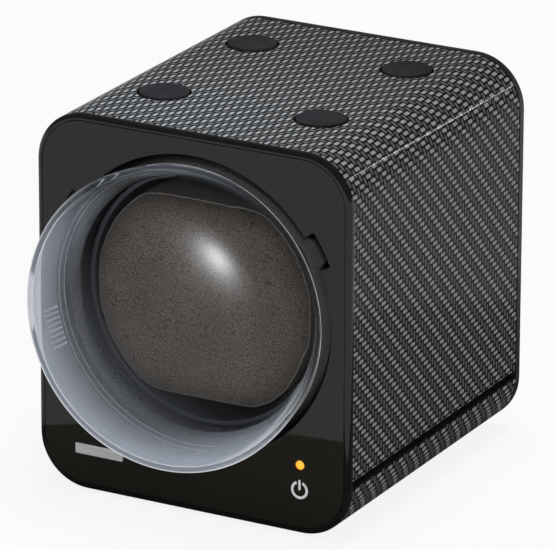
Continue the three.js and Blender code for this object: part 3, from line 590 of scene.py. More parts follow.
# %% Plastics and rubber
def plastic(name, dark, light, low, high, grain_scale, depth, constants=None):
    """A moulded plastic: a slightly uneven colour, a roughness range and a texture depth."""
    material, recipe, shader, place = finish(name, {"IOR": 1.46, **(constants or {})})
    grain = use(recipe, "fine_grain", {"Place": place, "Scale": grain_scale})
    handled = use(recipe, "handling", {"Place": place, "Low": low, "High": high})
    dress(recipe, shader, recipe.mix(grain["Tone"], (*dark, 1), (*light, 1)), handled["Roughness"])
    bump(recipe, shader, grain["Height"], depth, 0.6)
    return material


gloss_black = plastic(
    "gloss_black", (0.0125, 0.0118, 0.0090), (0.0140, 0.0132, 0.0102), 0.03, 0.05,
    900.0, 0.0004 * MM, {"IOR": 1.38},
)
bezel_black = plastic(
    "bezel_black", (0.0025, 0.0025, 0.0024), (0.0035, 0.0034, 0.0032), 0.06, 0.11, 1500.0, 0.001 * MM
)
matte_black = plastic(
    "black_plastic", (0.010, 0.010, 0.010), (0.016, 0.016, 0.016), 0.42, 0.55, 3400.0, 0.03 * MM
)
cup_grey = plastic(
    "cup_plastic", (0.030, 0.033, 0.040), (0.042, 0.046, 0.054), 0.40, 0.52, 3400.0, 0.03 * MM
)
ring_black = plastic(
    "ring_plastic", (0.006, 0.006, 0.006), (0.010, 0.009, 0.009), 0.22, 0.32, 2600.0, 0.006 * MM
)
dark_rubber = plastic(
    "rubber", (0.012, 0.012, 0.013), (0.019, 0.019, 0.020), 0.5, 0.66, 4200.0, 0.025 * MM,
    {"Sheen Weight": 0.02, "Sheen Roughness": 0.5, "Specular IOR Level": 0.2},
)
nylon = plastic(
    "nylon", (0.62, 0.60, 0.54), (0.72, 0.70, 0.64), 0.38, 0.5, 2400.0, 0.01 * MM,
    {"Subsurface Weight": 0.1, "Subsurface Radius": (0.002, 0.0018, 0.0014)},
)
rib_plastic = plastic(
    "rib_plastic", (0.42, 0.45, 0.50), (0.55, 0.58, 0.63), 0.2, 0.3, 2400.0, 0.004 * MM
)
chip_black = plastic(
    "chip_epoxy", (0.014, 0.014, 0.015), (0.022, 0.022, 0.023), 0.5, 0.6, 5200.0, 0.01 * MM
)


# %% Metals
def metal(name, dark, light, low, high, depth, solid=1.0):
    """A plated or brushed metal with fine lines in its colour, its roughness and its surface."""
    material, recipe, shader, place = finish(name, {"Metallic": solid})
    lines = use(recipe, "brushed_lines", {"Place": place})
    handled = use(recipe, "handling", {"Place": place, "Low": low, "High": high})
    dress(recipe, shader, recipe.mix(lines["Tone"], (*dark, 1), (*light, 1)), handled["Roughness"])
    bump(recipe, shader, lines["Height"], depth, 0.5)
    return material


steel = metal("steel", (0.46, 0.46, 0.47), (0.60, 0.60, 0.61), 0.24, 0.38, 0.004 * MM)
brass = metal("brass", (0.62, 0.44, 0.18), (0.74, 0.56, 0.26), 0.22, 0.34, 0.004 * MM)
silver = metal("silver_plate", (0.66, 0.66, 0.66), (0.84, 0.84, 0.83), 0.34, 0.46, 0.003 * MM, 0.45)

# %% Circuit board, printed mark and lamp
board_green, recipe, shader, place = finish(
    "circuit_board", {"IOR": 1.5, "Coat Weight": 0.3, "Coat Roughness": 0.2}
)
grain = use(recipe, "fine_grain", {"Place": place, "Scale": 1800.0})
track = recipe.add("TexBrick", {
    "Vector": recipe.stretch(place, 160.0, 160.0, 160.0), "Scale": 1.0, "Mortar Size": 0.06,
    "Color1": (0.015, 0.10, 0.045, 1), "Color2": (0.02, 0.13, 0.06, 1),
    "Mortar": (0.03, 0.19, 0.09, 1),
}).outputs["Color"]
mottle = recipe.mix(grain["Tone"], (0.012, 0.09, 0.04, 1), (0.02, 0.14, 0.06, 1))
colour = recipe.mix(0.35, track, mottle)
dress(recipe, shader, colour, recipe.ease(grain["Tone"], 0.0, 1.0, 0.3, 0.42))
bump(recipe, shader, grain["Height"], 0.01 * MM, 0.5)

# The ink glows faintly though it is no lamp: painted light that keeps it bright.
white_print, recipe, shader, place = finish(
    "white_print", {"IOR": 1.45, "Emission Strength": 0.10, "Emission Color": (1, 1, 1, 1)}
)
grain = use(recipe, "fine_grain", {"Place": place, "Scale": 5200.0})
colour = recipe.mix(grain["Tone"], (0.62, 0.62, 0.60, 1), (0.74, 0.74, 0.72, 1))
dress(recipe, shader, colour, recipe.ease(grain["Tone"], 0.0, 1.0, 0.4, 0.55))
bump(recipe, shader, grain["Height"], 0.006 * MM, 0.4)

amber, recipe, shader, place = finish("amber_lens", {"IOR": 1.5, "Emission Strength": 1.0})
glow_at = recipe.add("LayerWeight", {"Blend": 0.35}).outputs["Facing"]
glow = recipe.mix(recipe.ease(glow_at, 0.0, 0.9), (1.0, 0.45, 0.045, 1), (0.85, 0.24, 0.01, 1))
speck = use(recipe, "fine_grain", {"Place": place, "Scale": 6000.0})
recipe.join(glow, shader.inputs["Emission Color"])
colour = recipe.mix(speck["Tone"], (0.55, 0.24, 0.03, 1), (0.62, 0.29, 0.04, 1))
dress(recipe, shader, colour, recipe.ease(speck["Tone"], 0.0, 1.0, 0.08, 0.16))

# %% Clear acrylic and leather
# The dome's wall is modelled, so the glass bends light twice, and it throws no hard dark shadow.
clear, recipe, shader, place = finish("clear_acrylic", {
    "Metallic": 0.0, "Transmission Weight": 1.0, "IOR": 1.02, "Roughness": 0.0,
    "Coat Weight": 0.12, "Coat Roughness": 0.31, "Coat IOR": 1.5,
})
patchy = use(recipe, "handling", {"Place": place, "Low": 0.94, "High": 1.0})["Roughness"]
grain = use(recipe, "fine_grain", {"Place": place, "Scale": 300.0})
dress(recipe, shader, recipe.mix(grain["Tone"], (0.965, 0.975, 0.985, 1), (0.98, 0.985, 0.99, 1)))
see_through = recipe.add("BsdfTransparent", {"Color": (0.93, 0.94, 0.95, 1)})
light_path = recipe.add("LightPath").outputs
pass_light = recipe.sum("MAXIMUM", light_path["Is Shadow Ray"], light_path["Is Diffuse Ray"])

# Painted reflection: a milky film grows where the wall is seen slantwise, on the lower left side, and its rim
# glows white, standing in for the bright floor mirrored there.
slant = recipe.add("LayerWeight", {"Blend": 0.5}).outputs["Facing"]
DOME_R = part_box("dome_lens")[1].x
at = recipe.split(place)
rise = recipe.sum("SUBTRACT", at[2], AXIS_Z)
downhill = recipe.sum("MULTIPLY_ADD", rise, -0.82 / DOME_R, recipe.sum("MULTIPLY", at[0], -0.57 / DOME_R))
low_side = recipe.ease(downhill, -0.40, 0.45)
rim = recipe.sum("MULTIPLY", recipe.ease(slant, 0.72, 0.93), low_side)
reflection_film_mask = recipe.sum("MULTIPLY", recipe.ease(slant, 0.16, 0.62, 0.0, 0.37), low_side)
reflection_film_mask = recipe.sum("MULTIPLY_ADD", rim, 0.40, reflection_film_mask)
reflection_film_mask = recipe.sum("MULTIPLY_ADD", recipe.ease(slant, 0.6, 1.0), 0.10, reflection_film_mask)
reflection_film_mask = recipe.sum("MULTIPLY", reflection_film_mask, patchy)
painted_reflection_film = recipe.add("BsdfDiffuse", {"Color": recipe.mix(rim, (0.62, 0.67, 0.76, 1), (0.95, 0.97, 1.0, 1))})
# Painted reflection: the rim glows white though the dome is no lamp.
painted_rim_glow = recipe.add("Emission", {"Color": (0.95, 0.97, 1.0, 1), "Strength": 0.95})
glass_with_painted_reflection = recipe.blend(reflection_film_mask, shader.outputs[0], painted_reflection_film.outputs[0])
glass_with_painted_reflection = recipe.blend(recipe.sum("MULTIPLY", rim, 0.62), glass_with_painted_reflection, painted_rim_glow.outputs[0])
recipe.show(recipe.blend(pass_light, glass_with_painted_reflection, see_through.outputs[0]))

suede, recipe, shader, place = finish("suede", {
    "IOR": 1.4, "Specular IOR Level": 0.3,
    "Sheen Weight": 0.35, "Sheen Roughness": 0.45, "Sheen Tint": (0.75, 0.70, 0.64, 1),
})
hide = use(recipe, "leather_grain", {"Place": place})
cloud = recipe.noise(place, 60.0, 4.0, 0.6)
base = recipe.mix(recipe.ease(cloud, 0.3, 0.7), (0.165, 0.134, 0.113, 1), (0.212, 0.176, 0.150, 1))
pad_low, pad_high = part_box("cushion")
at = recipe.split(place)
rise = recipe.sum("ABSOLUTE", recipe.sum("SUBTRACT", at[2], AXIS_Z))
flat = recipe.stretch(place, 1, 0, 1)
gap = recipe.add("VectorMath", {0: flat, 1: (0, 0, AXIS_Z)}, operation="DISTANCE")
out = gap.outputs["Value"]
# Painted shade: the cover is darker towards its flat top and bottom and towards its round edge, where the recess
# shades it. It is darker in the grain's creases too.
level = recipe.ease(recipe.sum("DIVIDE", rise, (pad_high.z - pad_low.z) / 2), 1.0, 0.70, 0.35, 1.0)
inner = recipe.ease(recipe.sum("DIVIDE", out, pad_high.x), 1.0, 0.72, 0.40, 1.0)
creased = recipe.ease(hide["Crease"], 0.0, 0.9, 0.26, 1.0)
shade_and_creases = recipe.sum("MULTIPLY", recipe.sum("MULTIPLY", level, inner), creased)
colour = recipe.mix(shade_and_creases, (0.018, 0.015, 0.012, 1), base)
dress(recipe, shader, colour, recipe.ease(cloud, 0.3, 0.7, 0.62, 0.78))
bump(recipe, shader, hide["Height"], 0.35 * MM, 1.0)

thread, recipe, shader, place = finish("seam_thread", {"IOR": 1.4, "Sheen Weight": 0.3})
twist = recipe.noise(recipe.stretch(place, 4200.0, 1500.0, 2600.0), 1.0, 2.0)
colour = recipe.mix(recipe.ease(twist, 0.35, 0.65), (0.10, 0.085, 0.072, 1), (0.24, 0.21, 0.18, 1))
dress(recipe, shader, colour, recipe.ease(twist, 0.3, 0.7, 0.6, 0.75))
bump(recipe, shader, twist, 0.05 * MM, 0.6)
print("finishes:", len(bpy.data.materials))

# %% [markdown]
# ## Case shells
# The case is a tube with rounded corners, split low down into a long upper shell and a base tray
# with a dark gap between them. Each is a sleeve with a wall, sliced level and then edge-rounded.
# Its film is laid on by a map that unrolls it: one way is depth, the other way is round the case.

# %% Unroll map
MID_Z = (CASE_Z0 + CASE_Z1) / 2
FLAT_X, FLAT_Z = WIDTH / 2 - CORNER, HEIGHT / 2 - CORNER
SIDE_START = FLAT_X + CORNER * math.pi / 2


def round_the_case(x, z, centre):
    """The distance from the middle of the top, along the case's outline, for a point of a face."""
    side, rise = (1 if centre.x >= 0 else -1), z - MID_Z
    over, up = abs(x) - FLAT_X, abs(rise) - FLAT_Z
    face_up = abs(centre.z - MID_Z) - FLAT_Z
    if face_up > abs(centre.x) - FLAT_X and abs(centre.x) < FLAT_X:
        return x if rise > 0 else OUTLINE / 2 - x
    if over > 0 and up > 0:
        corner = math.atan2(over, up) if rise > 0 else math.atan2(up, over)
        start = FLAT_X if rise > 0 else SIDE_START + 2 * FLAT_Z
        return side * (start + CORNER * corner)
    if up > over:
        return side * (abs(x) if rise > 0 else OUTLINE / 2 - abs(x))
    return side * (SIDE_START + FLAT_Z - rise)


def unroll(obj):
    """Give a shell the map that its weave is drawn on, in threads."""
    layer = obj.data.uv_layers.new(name="unrolled")
    for face in obj.data.polygons:
        for loop in face.loop_indices:
            point = obj.data.vertices[obj.data.loops[loop].vertex_index].co
            around = round_the_case(point.x, point.z, face.center)
            layer.data[loop].uv = ((point.y - FRONT) / CELL, around / CELL)
    return obj


def inside_by(x, z):
    """How far a point lies inside the case's outline."""
    over, up = abs(x) - FLAT_X, abs(z - MID_Z) - FLAT_Z
    if over > 0 and up > 0:
        return CORNER - math.hypot(over, up)
    return min(CORNER - over, CORNER - up)


SKIN = 0.45 * MM  # faces nearer than this to the outline are outer faces


def film_outside(obj):
    """The outer faces take the film, and the inside stays bare."""
    paint(obj, carbon, inside_film)
    for face in obj.data.polygons:
        outward = inside_by(face.center.x, face.center.z) < SKIN
        face.material_index = 0 if outward else 1
    return obj


# %% Upper shell and base tray
PLUG_NAMES = [f"stacking_plug_{i}" for i in range(1, 5)]
plug_places = [middle_of(name) for name in PLUG_NAMES]
plug_low, plug_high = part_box(PLUG_NAMES[0])
PLUG_R = half_width(PLUG_NAMES[0])
SOCKET_WALL = 1.8 * MM
foot_places = [middle_of(f"rubber_foot_{i}") for i in range(1, 5)]
foot_low, foot_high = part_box("rubber_foot_1")
FOOT_R = half_width("rubber_foot_1")
base_screws = [middle_of(f"base_screw_{i}") for i in range(1, 5)]
HEAD_R = half_width("base_screw_1")
BORE_R = 1.8 * MM
EASE = 0.28 * MM  # how far the edges of the shells are rounded

upper = case_sleeve(0, WALL, SHELL_LOW.y, SHELL_HIGH.y)
slice_off(upper, SHELL_LOW.z, keep_above=True)
for at in plug_places:
    boss = post(PLUG_R + SOCKET_WALL, plug_low.z - SOCKET_WALL, CASE_Z1 - PAST, at.x, at.y)
    cut(upper, boss, "UNION")
for at in plug_places:
    cut(upper, post(PLUG_R + GAP, plug_low.z - GAP, CASE_Z1 + PAST, at.x, at.y))
soften(upper, EASE, 3, 50)
settle(upper, "case_upper_shell")
film_outside(unroll(upper))
fit_piece(upper, "case_upper_shell", "root", "carbon_film", "upper_shell")

tray = case_sleeve(0, WALL, TRAY_LOW.y, TRAY_HIGH.y)
slice_off(tray, TRAY_HIGH.z, keep_above=False)
for at in foot_places:
    cut(tray, post(FOOT_R + GAP, CASE_Z0 - PAST, foot_high.z + GAP, at.x, at.y))
for at in base_screws:
    cut(tray, post(HEAD_R + GAP, CASE_Z0 - PAST, CASE_Z0 + 1.8 * MM, at.x, at.y, 32))
    cut(tray, post(BORE_R, CASE_Z0, CASE_Z0 + 3.5 * MM, at.x, at.y, 32))
soften(tray, EASE, 3, 50)
settle(tray, "case_base_tray")
film_outside(unroll(tray))
fit_piece(tray, "case_base_tray", "root", "carbon_film", "base_tray")

# %% [markdown]
# ## Bezel and front panel
# A polished bezel frames the front and is split level with the case's own seam. The panel sits
# just inside it with a hairline gap, so that both edges catch a thin line of light.

# %% Bezel
WEB_INSET, WEB_WIDTH = 1.2 * MM, 2.2 * MM
WEB_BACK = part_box("bezel_upper")[1].y
BEZEL_BACK = SHELL_LOW.y - GAP
SPLIT_UP, SPLIT_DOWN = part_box("bezel_upper")[0].z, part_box("bezel_lower")[1].z


def at_front(edge):
    return abs(middle(edge).y - FRONT) < NEAR


def depth_of(edge):
    """How far an edge lies inside the case's outline."""
    return inside_by(middle(edge).x, middle(edge).z)


def bezel_ring():
    ring = case_sleeve(0, BEZEL_WIDTH - GAP / 2, FRONT, BEZEL_BACK)
    count = round_edges(ring, lambda e: at_front(e) and depth_of(e) < 0.2 * MM, 1.55 * MM, 8)
    round_edges(ring, lambda e: at_front(e) and depth_of(e) > 1.9 * MM, 0.18 * MM, 2)
    web = case_sleeve(WEB_INSET, WEB_WIDTH, BEZEL_BACK - 0.3 * MM, WEB_BACK)
    print("bezel front edges rounded:", count)
    return cut(ring, web, "UNION")


for name, z, keep_above in (("upper", SPLIT_UP, True), ("lower", SPLIT_DOWN, False)):
    bezel = slice_off(bezel_ring(), z, keep_above)
    smooth(bezel, 35)
    fit_piece(paint(bezel, bezel_black), f"front_bezel_{name}", "root", "gloss_black", f"bezel_{name}")

# %% Front panel
OPENING_R = 48.4 * MM
NOTCH_R, NOTCH_ANGLE = 52.1 * MM, 12.6
NOTCH_AT = (30, 150, 270)
led_centre = middle_of("led")
LED_R = half_width("led")


def wedge(obj, centre, angle):
    """Keep only a slice of a ring, between two planes through the dome's axis."""
    for end, flip in ((centre - angle / 2, 1), (centre + angle / 2, -1)):
        turn = math.radians(end)
        normal = Vector((-math.sin(turn), 0, math.cos(turn))) * flip
        edit(obj)
        bpy.ops.mesh.select_all(action="SELECT")
        bpy.ops.mesh.bisect(plane_co=(0, 0, AXIS_Z), plane_no=normal, use_fill=True, clear_inner=True)
        done()
    return obj


def from_axis(point):
    return math.hypot(point.x, point.z - AXIS_Z)


def opening_cutter(y0, y1):
    cutter = rod(OPENING_R, y0, y1, 0, AXIS_Z, 240)
    for at in NOTCH_AT:
        notch = wedge(hoop(OPENING_R - 4 * MM, NOTCH_R, y0, y1, 240), at, NOTCH_ANGLE)
        round_edges(
            notch,
            lambda e: lengthwise(e) and from_axis(middle(e)) > NOTCH_R - 0.3 * MM and is_sharp(e),
            1.3 * MM, 6,
        )
        cut(cutter, notch, "UNION")
    return cutter


def opening_edge(edge):
    """Whether an edge is on the front rim of the round opening or its notches."""
    on_rim = OPENING_R - 0.1 * MM < from_axis(middle(edge)) < NOTCH_R + 0.1 * MM
    return at_front(edge) and along(edge, 1) < 0.1 and on_rim and is_sharp(edge)


panel = rounded_case(BEZEL_WIDTH, FRONT, PANEL_HIGH.y)
cutter_y0, cutter_y1 = FRONT - PAST, PANEL_HIGH.y + PAST
cut(panel, opening_cutter(cutter_y0, cutter_y1))
cut(panel, rod(LED_R + 0.18 * MM, cutter_y0, cutter_y1, led_centre.x, led_centre.z, 48))
plate_low, plate_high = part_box("nameplate")
POCKET_GAP, POCKET_DEPTH = 0.15 * MM, 0.6 * MM
cut(panel, block(
    (plate_low.x - POCKET_GAP, cutter_y0, plate_low.z - POCKET_GAP),
    (plate_high.x + POCKET_GAP, FRONT + POCKET_DEPTH, plate_high.z + POCKET_GAP),
))
rim = round_edges(panel, opening_edge, 0.45 * MM, 3)
round_edges(panel, lambda e: at_front(e) and depth_of(e) < BEZEL_WIDTH + 0.1 * MM, 0.15 * MM, 2)
smooth(panel, 35)
print("opening edges bevelled:", rim)
fit_piece(paint(panel, gloss_black), "front_panel_gloss", "root", "gloss_black", "front_panel")

# %% [markdown]
# ## Blank plate, lamp and touch mark
# The small silver plate carries no marks. The lamp is a turned, domed lens that glows amber, and
# the touch field is shown by a ring with a bar, printed in thin white ink.

# %% Plate and lamp
plate = block(plate_low, plate_high)
round_edges(plate, lengthwise, 0.4 * MM, 4)
soften(plate, 0.06 * MM, 2)
fit_piece(paint(plate, silver), "blank_plate", "root", "silver_plate", "nameplate")

lamp_front, lamp_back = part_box("led")[0].y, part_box("led")[1].y
crown = crown_line(LED_R, 0.7 * MM, 10, lamp_front)
lamp = turned(crown + [(LED_R, lamp_back), (0, lamp_back)], 48, led_centre.x, led_centre.z, closed=False)
smooth(lamp)
fit_piece(paint(lamp, amber), "status_lamp", "root", "amber_lens", "led")

# %% Touch mark
MARK_X, MARK_Z = led_centre.x, led_centre.z - 8.1 * MM
RING_OUT, STROKE, INK = 2.95 * MM, 0.85 * MM, 0.03 * MM
MARK_GAP = 46  # degrees open at the top
mark = hoop(RING_OUT - STROKE, RING_OUT, FRONT - INK, FRONT + INK, 96, MARK_X, MARK_Z)
wedge_tool = block(
    (MARK_X - 0.5 * MM, FRONT - PAST, MARK_Z), (MARK_X + 0.5 * MM, FRONT + PAST, MARK_Z + 4 * MM)
)
spread = 8 * math.tan(math.radians(MARK_GAP / 2))  # the wedge is 4 mm high and was 1 mm wide
edit(wedge_tool)
for way, width in ((1, spread), (-1, 0.02)):
    pick(wedge_tool, "faces", lambda f: f.normal.z * way > 0.9)
    bpy.ops.transform.resize(value=(width, 1, 1), center_override=(MARK_X, FRONT, MARK_Z))
done()
cut(mark, wedge_tool)
bar_low, bar_high = MARK_Z - 0.1 * MM, MARK_Z + 3.35 * MM
bar = block((MARK_X - 0.4 * MM, FRONT - INK, bar_low), (MARK_X + 0.4 * MM, FRONT + INK, bar_high))
round_edges(bar, lengthwise, 0.38 * MM, 5)
only(mark)
bar.select_set(True)
bpy.ops.object.join()
fit_piece(paint(mark, white_print), "touch_mark", "root", "white_print")

# %% [markdown]
# ## Seat, ring, seal and dome
# Behind the opening sits the bayonet seat: the dome's ring goes in with its three tabs in the
# three notches and turns to lock. The dome is one clear moulding with a neck, its widest place
# just in front of the panel and a flattened crown, so its profile is drawn and turned.

# %% Bayonet seat
SEAT_LOW, SEAT_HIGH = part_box("bayonet_seat")
SEAT_R, CHANNEL_R = 52.2 * MM, 50.8 * MM
FLOOR_Y, CHANNEL_Y = SEAT_HIGH.y - 2 * MM, FRONT + 5.7 * MM
SEAT_IN_R = radii_at("bayonet_seat", SEAT_HIGH.y)[0]
seat = turned([
    (CHANNEL_R, SEAT_LOW.y), (SEAT_R, SEAT_LOW.y), (SEAT_R, SEAT_HIGH.y), (SEAT_IN_R, SEAT_HIGH.y),
    (SEAT_IN_R, FLOOR_Y), (OPENING_R, FLOOR_Y), (OPENING_R, CHANNEL_Y), (CHANNEL_R, CHANNEL_Y),
], 160)
cut(seat, block((SEAT_LOW.x, FRONT, 0), (SEAT_HIGH.x, BACK, CASE_Z1)), "INTERSECT")
soften(seat, 0.2 * MM, 2, 50)
fit_piece(paint(seat, matte_black), "dome_seat", "root", "black_plastic", "bayonet_seat")

# %% Dome ring and seal
RING_LOW, RING_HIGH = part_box("dome_ring")
RING_IN_R, RING_R = radii_at("dome_ring", RING_HIGH.y)
TAB_R, TAB_ANGLE, TAB_BACK = 50.4 * MM, 10.4, FRONT + 5.4 * MM
ring = hoop(RING_IN_R, RING_R, RING_LOW.y, RING_HIGH.y, 180)
for at in NOTCH_AT:
    tab = hoop(RING_R - 2 * MM, TAB_R, RING_LOW.y, TAB_BACK, 180)
    cut(ring, wedge(tab, at, TAB_ANGLE), "UNION")
soften(ring, 0.3 * MM, 3, 50)
fit_piece(paint(ring, ring_black), "dome_bayonet_ring", "dome", "black_plastic", "dome_ring")

seal_low, seal_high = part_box("dome_seal")
seal_in, seal_out = radii_at("dome_seal", seal_low.y)
seal = hoop(seal_in, seal_out, seal_low.y, seal_high.y, 144)
soften(seal, 0.3 * MM, 3, 50)
fit_piece(paint(seal, dark_rubber), "dome_seal_ring", "dome_carrier", "rubber", "dome_seal")

# %% Dome
DOME_LOW, DOME_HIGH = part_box("dome_lens")
NECK_R = radii_at("dome_lens", DOME_HIGH.y)[1]
DOME_WALL = 2 * MM
BULGE_R = 48.15 * MM
BULGE_Y = FRONT - 15.8 * MM


def radius_at(y, inset=0.0):
    """The dome's radius behind its widest place."""
    neck, bulge = NECK_R - inset, BULGE_R - inset
    reach = (DOME_HIGH.y - BULGE_Y) / math.sqrt(1 - (neck / bulge) ** 2)
    return bulge * math.sqrt(1 - ((y - BULGE_Y) / reach) ** 2)


def dome_line(inset, back_steps=14, front_steps=40):
    """Half the dome's section, from the neck to the tip, set in by a distance."""
    line = []
    for i in range(back_steps):
        y = DOME_HIGH.y + (BULGE_Y - DOME_HIGH.y) * i / back_steps
        line.append((radius_at(y, inset), y))
    for i in range(front_steps + 1):
        t = math.pi / 2 * i / front_steps
        depth = BULGE_Y - DOME_LOW.y - inset
        line.append(((BULGE_R - inset) * math.cos(t), BULGE_Y - depth * math.sin(t)))
    line[-1] = (0.0, line[-1][1])
    return line


outside, inside = dome_line(0), dome_line(DOME_WALL)
dome = turned(list(reversed(outside)) + inside, 200, closed=False)
smooth(dome, 50)
RIB_ANGLES = [188.5 + 2.1 * i for i in range(8)]
RIB_R = 0.32 * MM
RIB_Y0, RIB_Y1 = FRONT - 9.5 * MM, FRONT - 3.5 * MM
rib_y = (RIB_Y0 + RIB_Y1) / 2
lean = math.atan2(radius_at(RIB_Y0) - radius_at(RIB_Y1), RIB_Y1 - RIB_Y0)
ribs = []
for angle in RIB_ANGLES:
    turn = math.radians(angle)
    centre = Vector((math.cos(turn), 0, math.sin(turn))) * (radius_at(rib_y) + 0.02 * MM)
    rib = rod(RIB_R, RIB_Y0, RIB_Y1, 0, 0, 12)
    soften(rib, 0.28 * MM, 3)
    rib.matrix_world = (
        Matrix.Translation(Vector((centre.x, rib_y, AXIS_Z + centre.z)))
        @ Matrix.Rotation(-turn, 4, "Y") @ Matrix.Rotation(lean, 4, "Z")
        @ Matrix.Translation(Vector((0, -rib_y, 0)))
    )
    only(rib)
    bpy.ops.object.transform_apply(location=True, rotation=True, scale=True)
    ribs.append(rib)
for rib in ribs:
    cut(dome, rib, "UNION")
smooth(dome, 45)
# The ribs take a pale opaque finish: a painted highlight in place of the light that the clear ribs catch.
paint(dome, clear, rib_plastic)
for face in dome.data.polygons:
    on_ribs = RIB_Y0 < face.center.y < RIB_Y1 and face.center.x < 0
    if on_ribs and from_axis(face.center) > radius_at(face.center.y) + 0.05 * MM:
        face.material_index = 1
fit_piece(dome, "clear_dome", "dome", "clear_acrylic", "dome_lens")
dome.visible_glossy = False  # so that the polished panel doesn't show it twice

# %% Steps in the dome's foot
# Two fine steps in the moulding are finished in pale silver instead of clear, a painted highlight, so that they
# show as thin bright lines.
STEP_HALF = 0.07 * MM
for i, (r, y) in enumerate(((46.1 * MM, FRONT - 2.2 * MM), (45.2 * MM, FRONT - 0.6 * MM))):
    step = turned([(r - STEP_HALF, y), (r, y - STEP_HALF), (r + STEP_HALF, y), (r, y + STEP_HALF)], 180)
    smooth(step, 80)
    fit_piece(paint(step, silver), f"dome_step_{i + 1}", "dome", "clear_acrylic")

# %% [markdown]
# ## Cup
# The cup that turns the watch is a shallow black pot with a hub behind it. It is one turned
# profile: wall, floor and hub, with every edge eased as a moulding's would be.

# %% Watch cup
CUP_LOW, CUP_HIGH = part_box("watch_cup")
CUP_IN_R, CUP_R = radii_at("watch_cup", CUP_LOW.y)
HUB_BORE, HUB_R = radii_at("watch_cup", CUP_HIGH.y)
CUP_BACK = CUP_HIGH.y - 8 * MM
CUP_FLOOR = CUP_BACK - 2 * MM
BORE_END = CUP_BACK + NEAR
cup = turned([
    (0, CUP_FLOOR), (CUP_IN_R, CUP_FLOOR), (CUP_IN_R, CUP_LOW.y), (CUP_R, CUP_LOW.y), (CUP_R, CUP_BACK),
    (HUB_R, CUP_BACK), (HUB_R, CUP_HIGH.y), (HUB_BORE, CUP_HIGH.y), (HUB_BORE, BORE_END), (0, BORE_END),
], 144, closed=False)
soften(cup, 0.35 * MM, 3, 50)
fit_piece(paint(cup, cup_grey), "turning_cup", "drum", "black_plastic", "watch_cup")

# %% [markdown]
# ## Cushion
# The cushion is foam in a soft grained cover, round with a flat top and bottom so that a strap
# goes over it. The shape starts a little small, becomes an even skin, and is blown up as cloth so
# that it crowns the way a stuffed cover does. A stitched seam runs round its front edge.

# %% Cushion skin
CUSHION_LOW, CUSHION_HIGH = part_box("cushion")
CUSHION_R = CUSHION_HIGH.x
FLAT_HALF = (CUSHION_HIGH.z - CUSHION_LOW.z) / 2
SHRINK = 1.3 * MM
pad = rod(CUSHION_R - SHRINK, CUSHION_LOW.y + 1.9 * MM, CUSHION_HIGH.y - 1.2 * MM, 0, AXIS_Z, 96)
slice_off(pad, AXIS_Z + FLAT_HALF - SHRINK, keep_above=False)
slice_off(pad, AXIS_Z - FLAT_HALF + SHRINK, keep_above=True)
settle(pad, "cushion_form")
round_edges(pad, lambda e: lengthwise(e) and e.calc_face_angle(0) > 0.35, 6 * MM, 6)
soften(pad, 2.6 * MM, 4, 50)
modify(pad, "REMESH", mode="VOXEL", voxel_size=2.6 * MM)
print("cushion skin:", len(pad.data.vertices), "points")

# %% Blow it up
CAP = 2.4 * MM  # no point moves further than this
LAST_FRAME = 20
rest = [vertex.co.copy() for vertex in pad.data.vertices]
only(pad)
cloth = pad.modifiers.new("stuffing", "CLOTH")
cloth.settings.use_pressure = True
cloth.settings.uniform_pressure_force = 4.0
cloth.settings.effector_weights.gravity = 0.0
cloth.settings.tension_stiffness = 25
cloth.settings.compression_stiffness = 25
cloth.settings.bending_stiffness = 2
cloth.point_cache.frame_start, cloth.point_cache.frame_end = 1, LAST_FRAME
for frame_number in range(1, LAST_FRAME + 1):
    bpy.context.scene.frame_set(frame_number)
bpy.ops.object.modifier_apply(modifier=cloth.name)
bpy.context.scene.frame_set(1)
for vertex, before in zip(pad.data.vertices, rest):
    moved = vertex.co - before
    if moved.length > CAP:
        vertex.co = before + moved.normalized() * CAP
swell = max((vertex.co - before).length for vertex, before in zip(pad.data.vertices, rest))
print("cushion swelled by up to", round(swell / MM, 2), "mm")
modify(pad, "SMOOTH", factor=0.5, iterations=3)
modify(pad, "SUBSURF", levels=1)
for vertex in pad.data.vertices:
    point = vertex.co
    flat = AXIS_Z + max(-FLAT_HALF, min(FLAT_HALF, point.z - AXIS_Z))
    reach = from_axis(Vector((point.x, 0, flat)))
    pull_in = min(1.0, (CUSHION_R - 0.05 * MM) / max(reach, 1e-6))
    vertex.co = (point.x * pull_in, min(point.y, CUSHION_HIGH.y), AXIS_Z + (flat - AXIS_Z) * pull_in)
smooth(pad, 80)
fit_piece(paint(pad, suede), "leather_cushion", "cushion_pad", "suede", "cushion")

# %% Cushion seam
SEAM_COUNT = 220
seam_points = []
for i in range(SEAM_COUNT):
    turn = 2 * math.pi * i / SEAM_COUNT
    way = Vector((math.cos(turn), 0, math.sin(turn)))
    target = Vector((0, CUSHION_LOW.y + 4.0 * MM, AXIS_Z))
    point, normal = pad.ray_cast(target + way * 0.06, -way)[1:3]
    seam_points.append(point + normal * 0.05 * MM)
curve = bpy.data.curves.new("cushion_seam", "CURVE")
curve.dimensions = "3D"
curve.bevel_depth = 0.24 * MM
curve.bevel_resolution = 2
spline = curve.splines.new("POLY")
spline.points.add(SEAM_COUNT - 1)
for target, point in zip(spline.points, seam_points):
    target.co = (*point, 1)
spline.use_cyclic_u = True
seam = bpy.data.objects.new("cushion_seam", curve)
bpy.context.collection.objects.link(seam)
only(seam)
bpy.ops.object.convert(target="MESH")
seam = bpy.context.object
smooth(seam)
fit_piece(paint(seam, thread), "cushion_seam", "cushion_pad", "suede")

# %% [markdown]
# ## Plugs, feet and screws
# Four rubber plugs fill the sockets in the top and four feet stand under the base. Each kind is
# modelled once, with its eased edge, and copied with its own mesh to the other places.


# %% Copies
def copy_of(pattern, move):
    """A copy with its own mesh, moved into its place."""
    twin = pattern.copy()
    twin.data = pattern.data.copy()
    twin.data.transform(move)
    bpy.context.collection.objects.link(twin)
    return twin


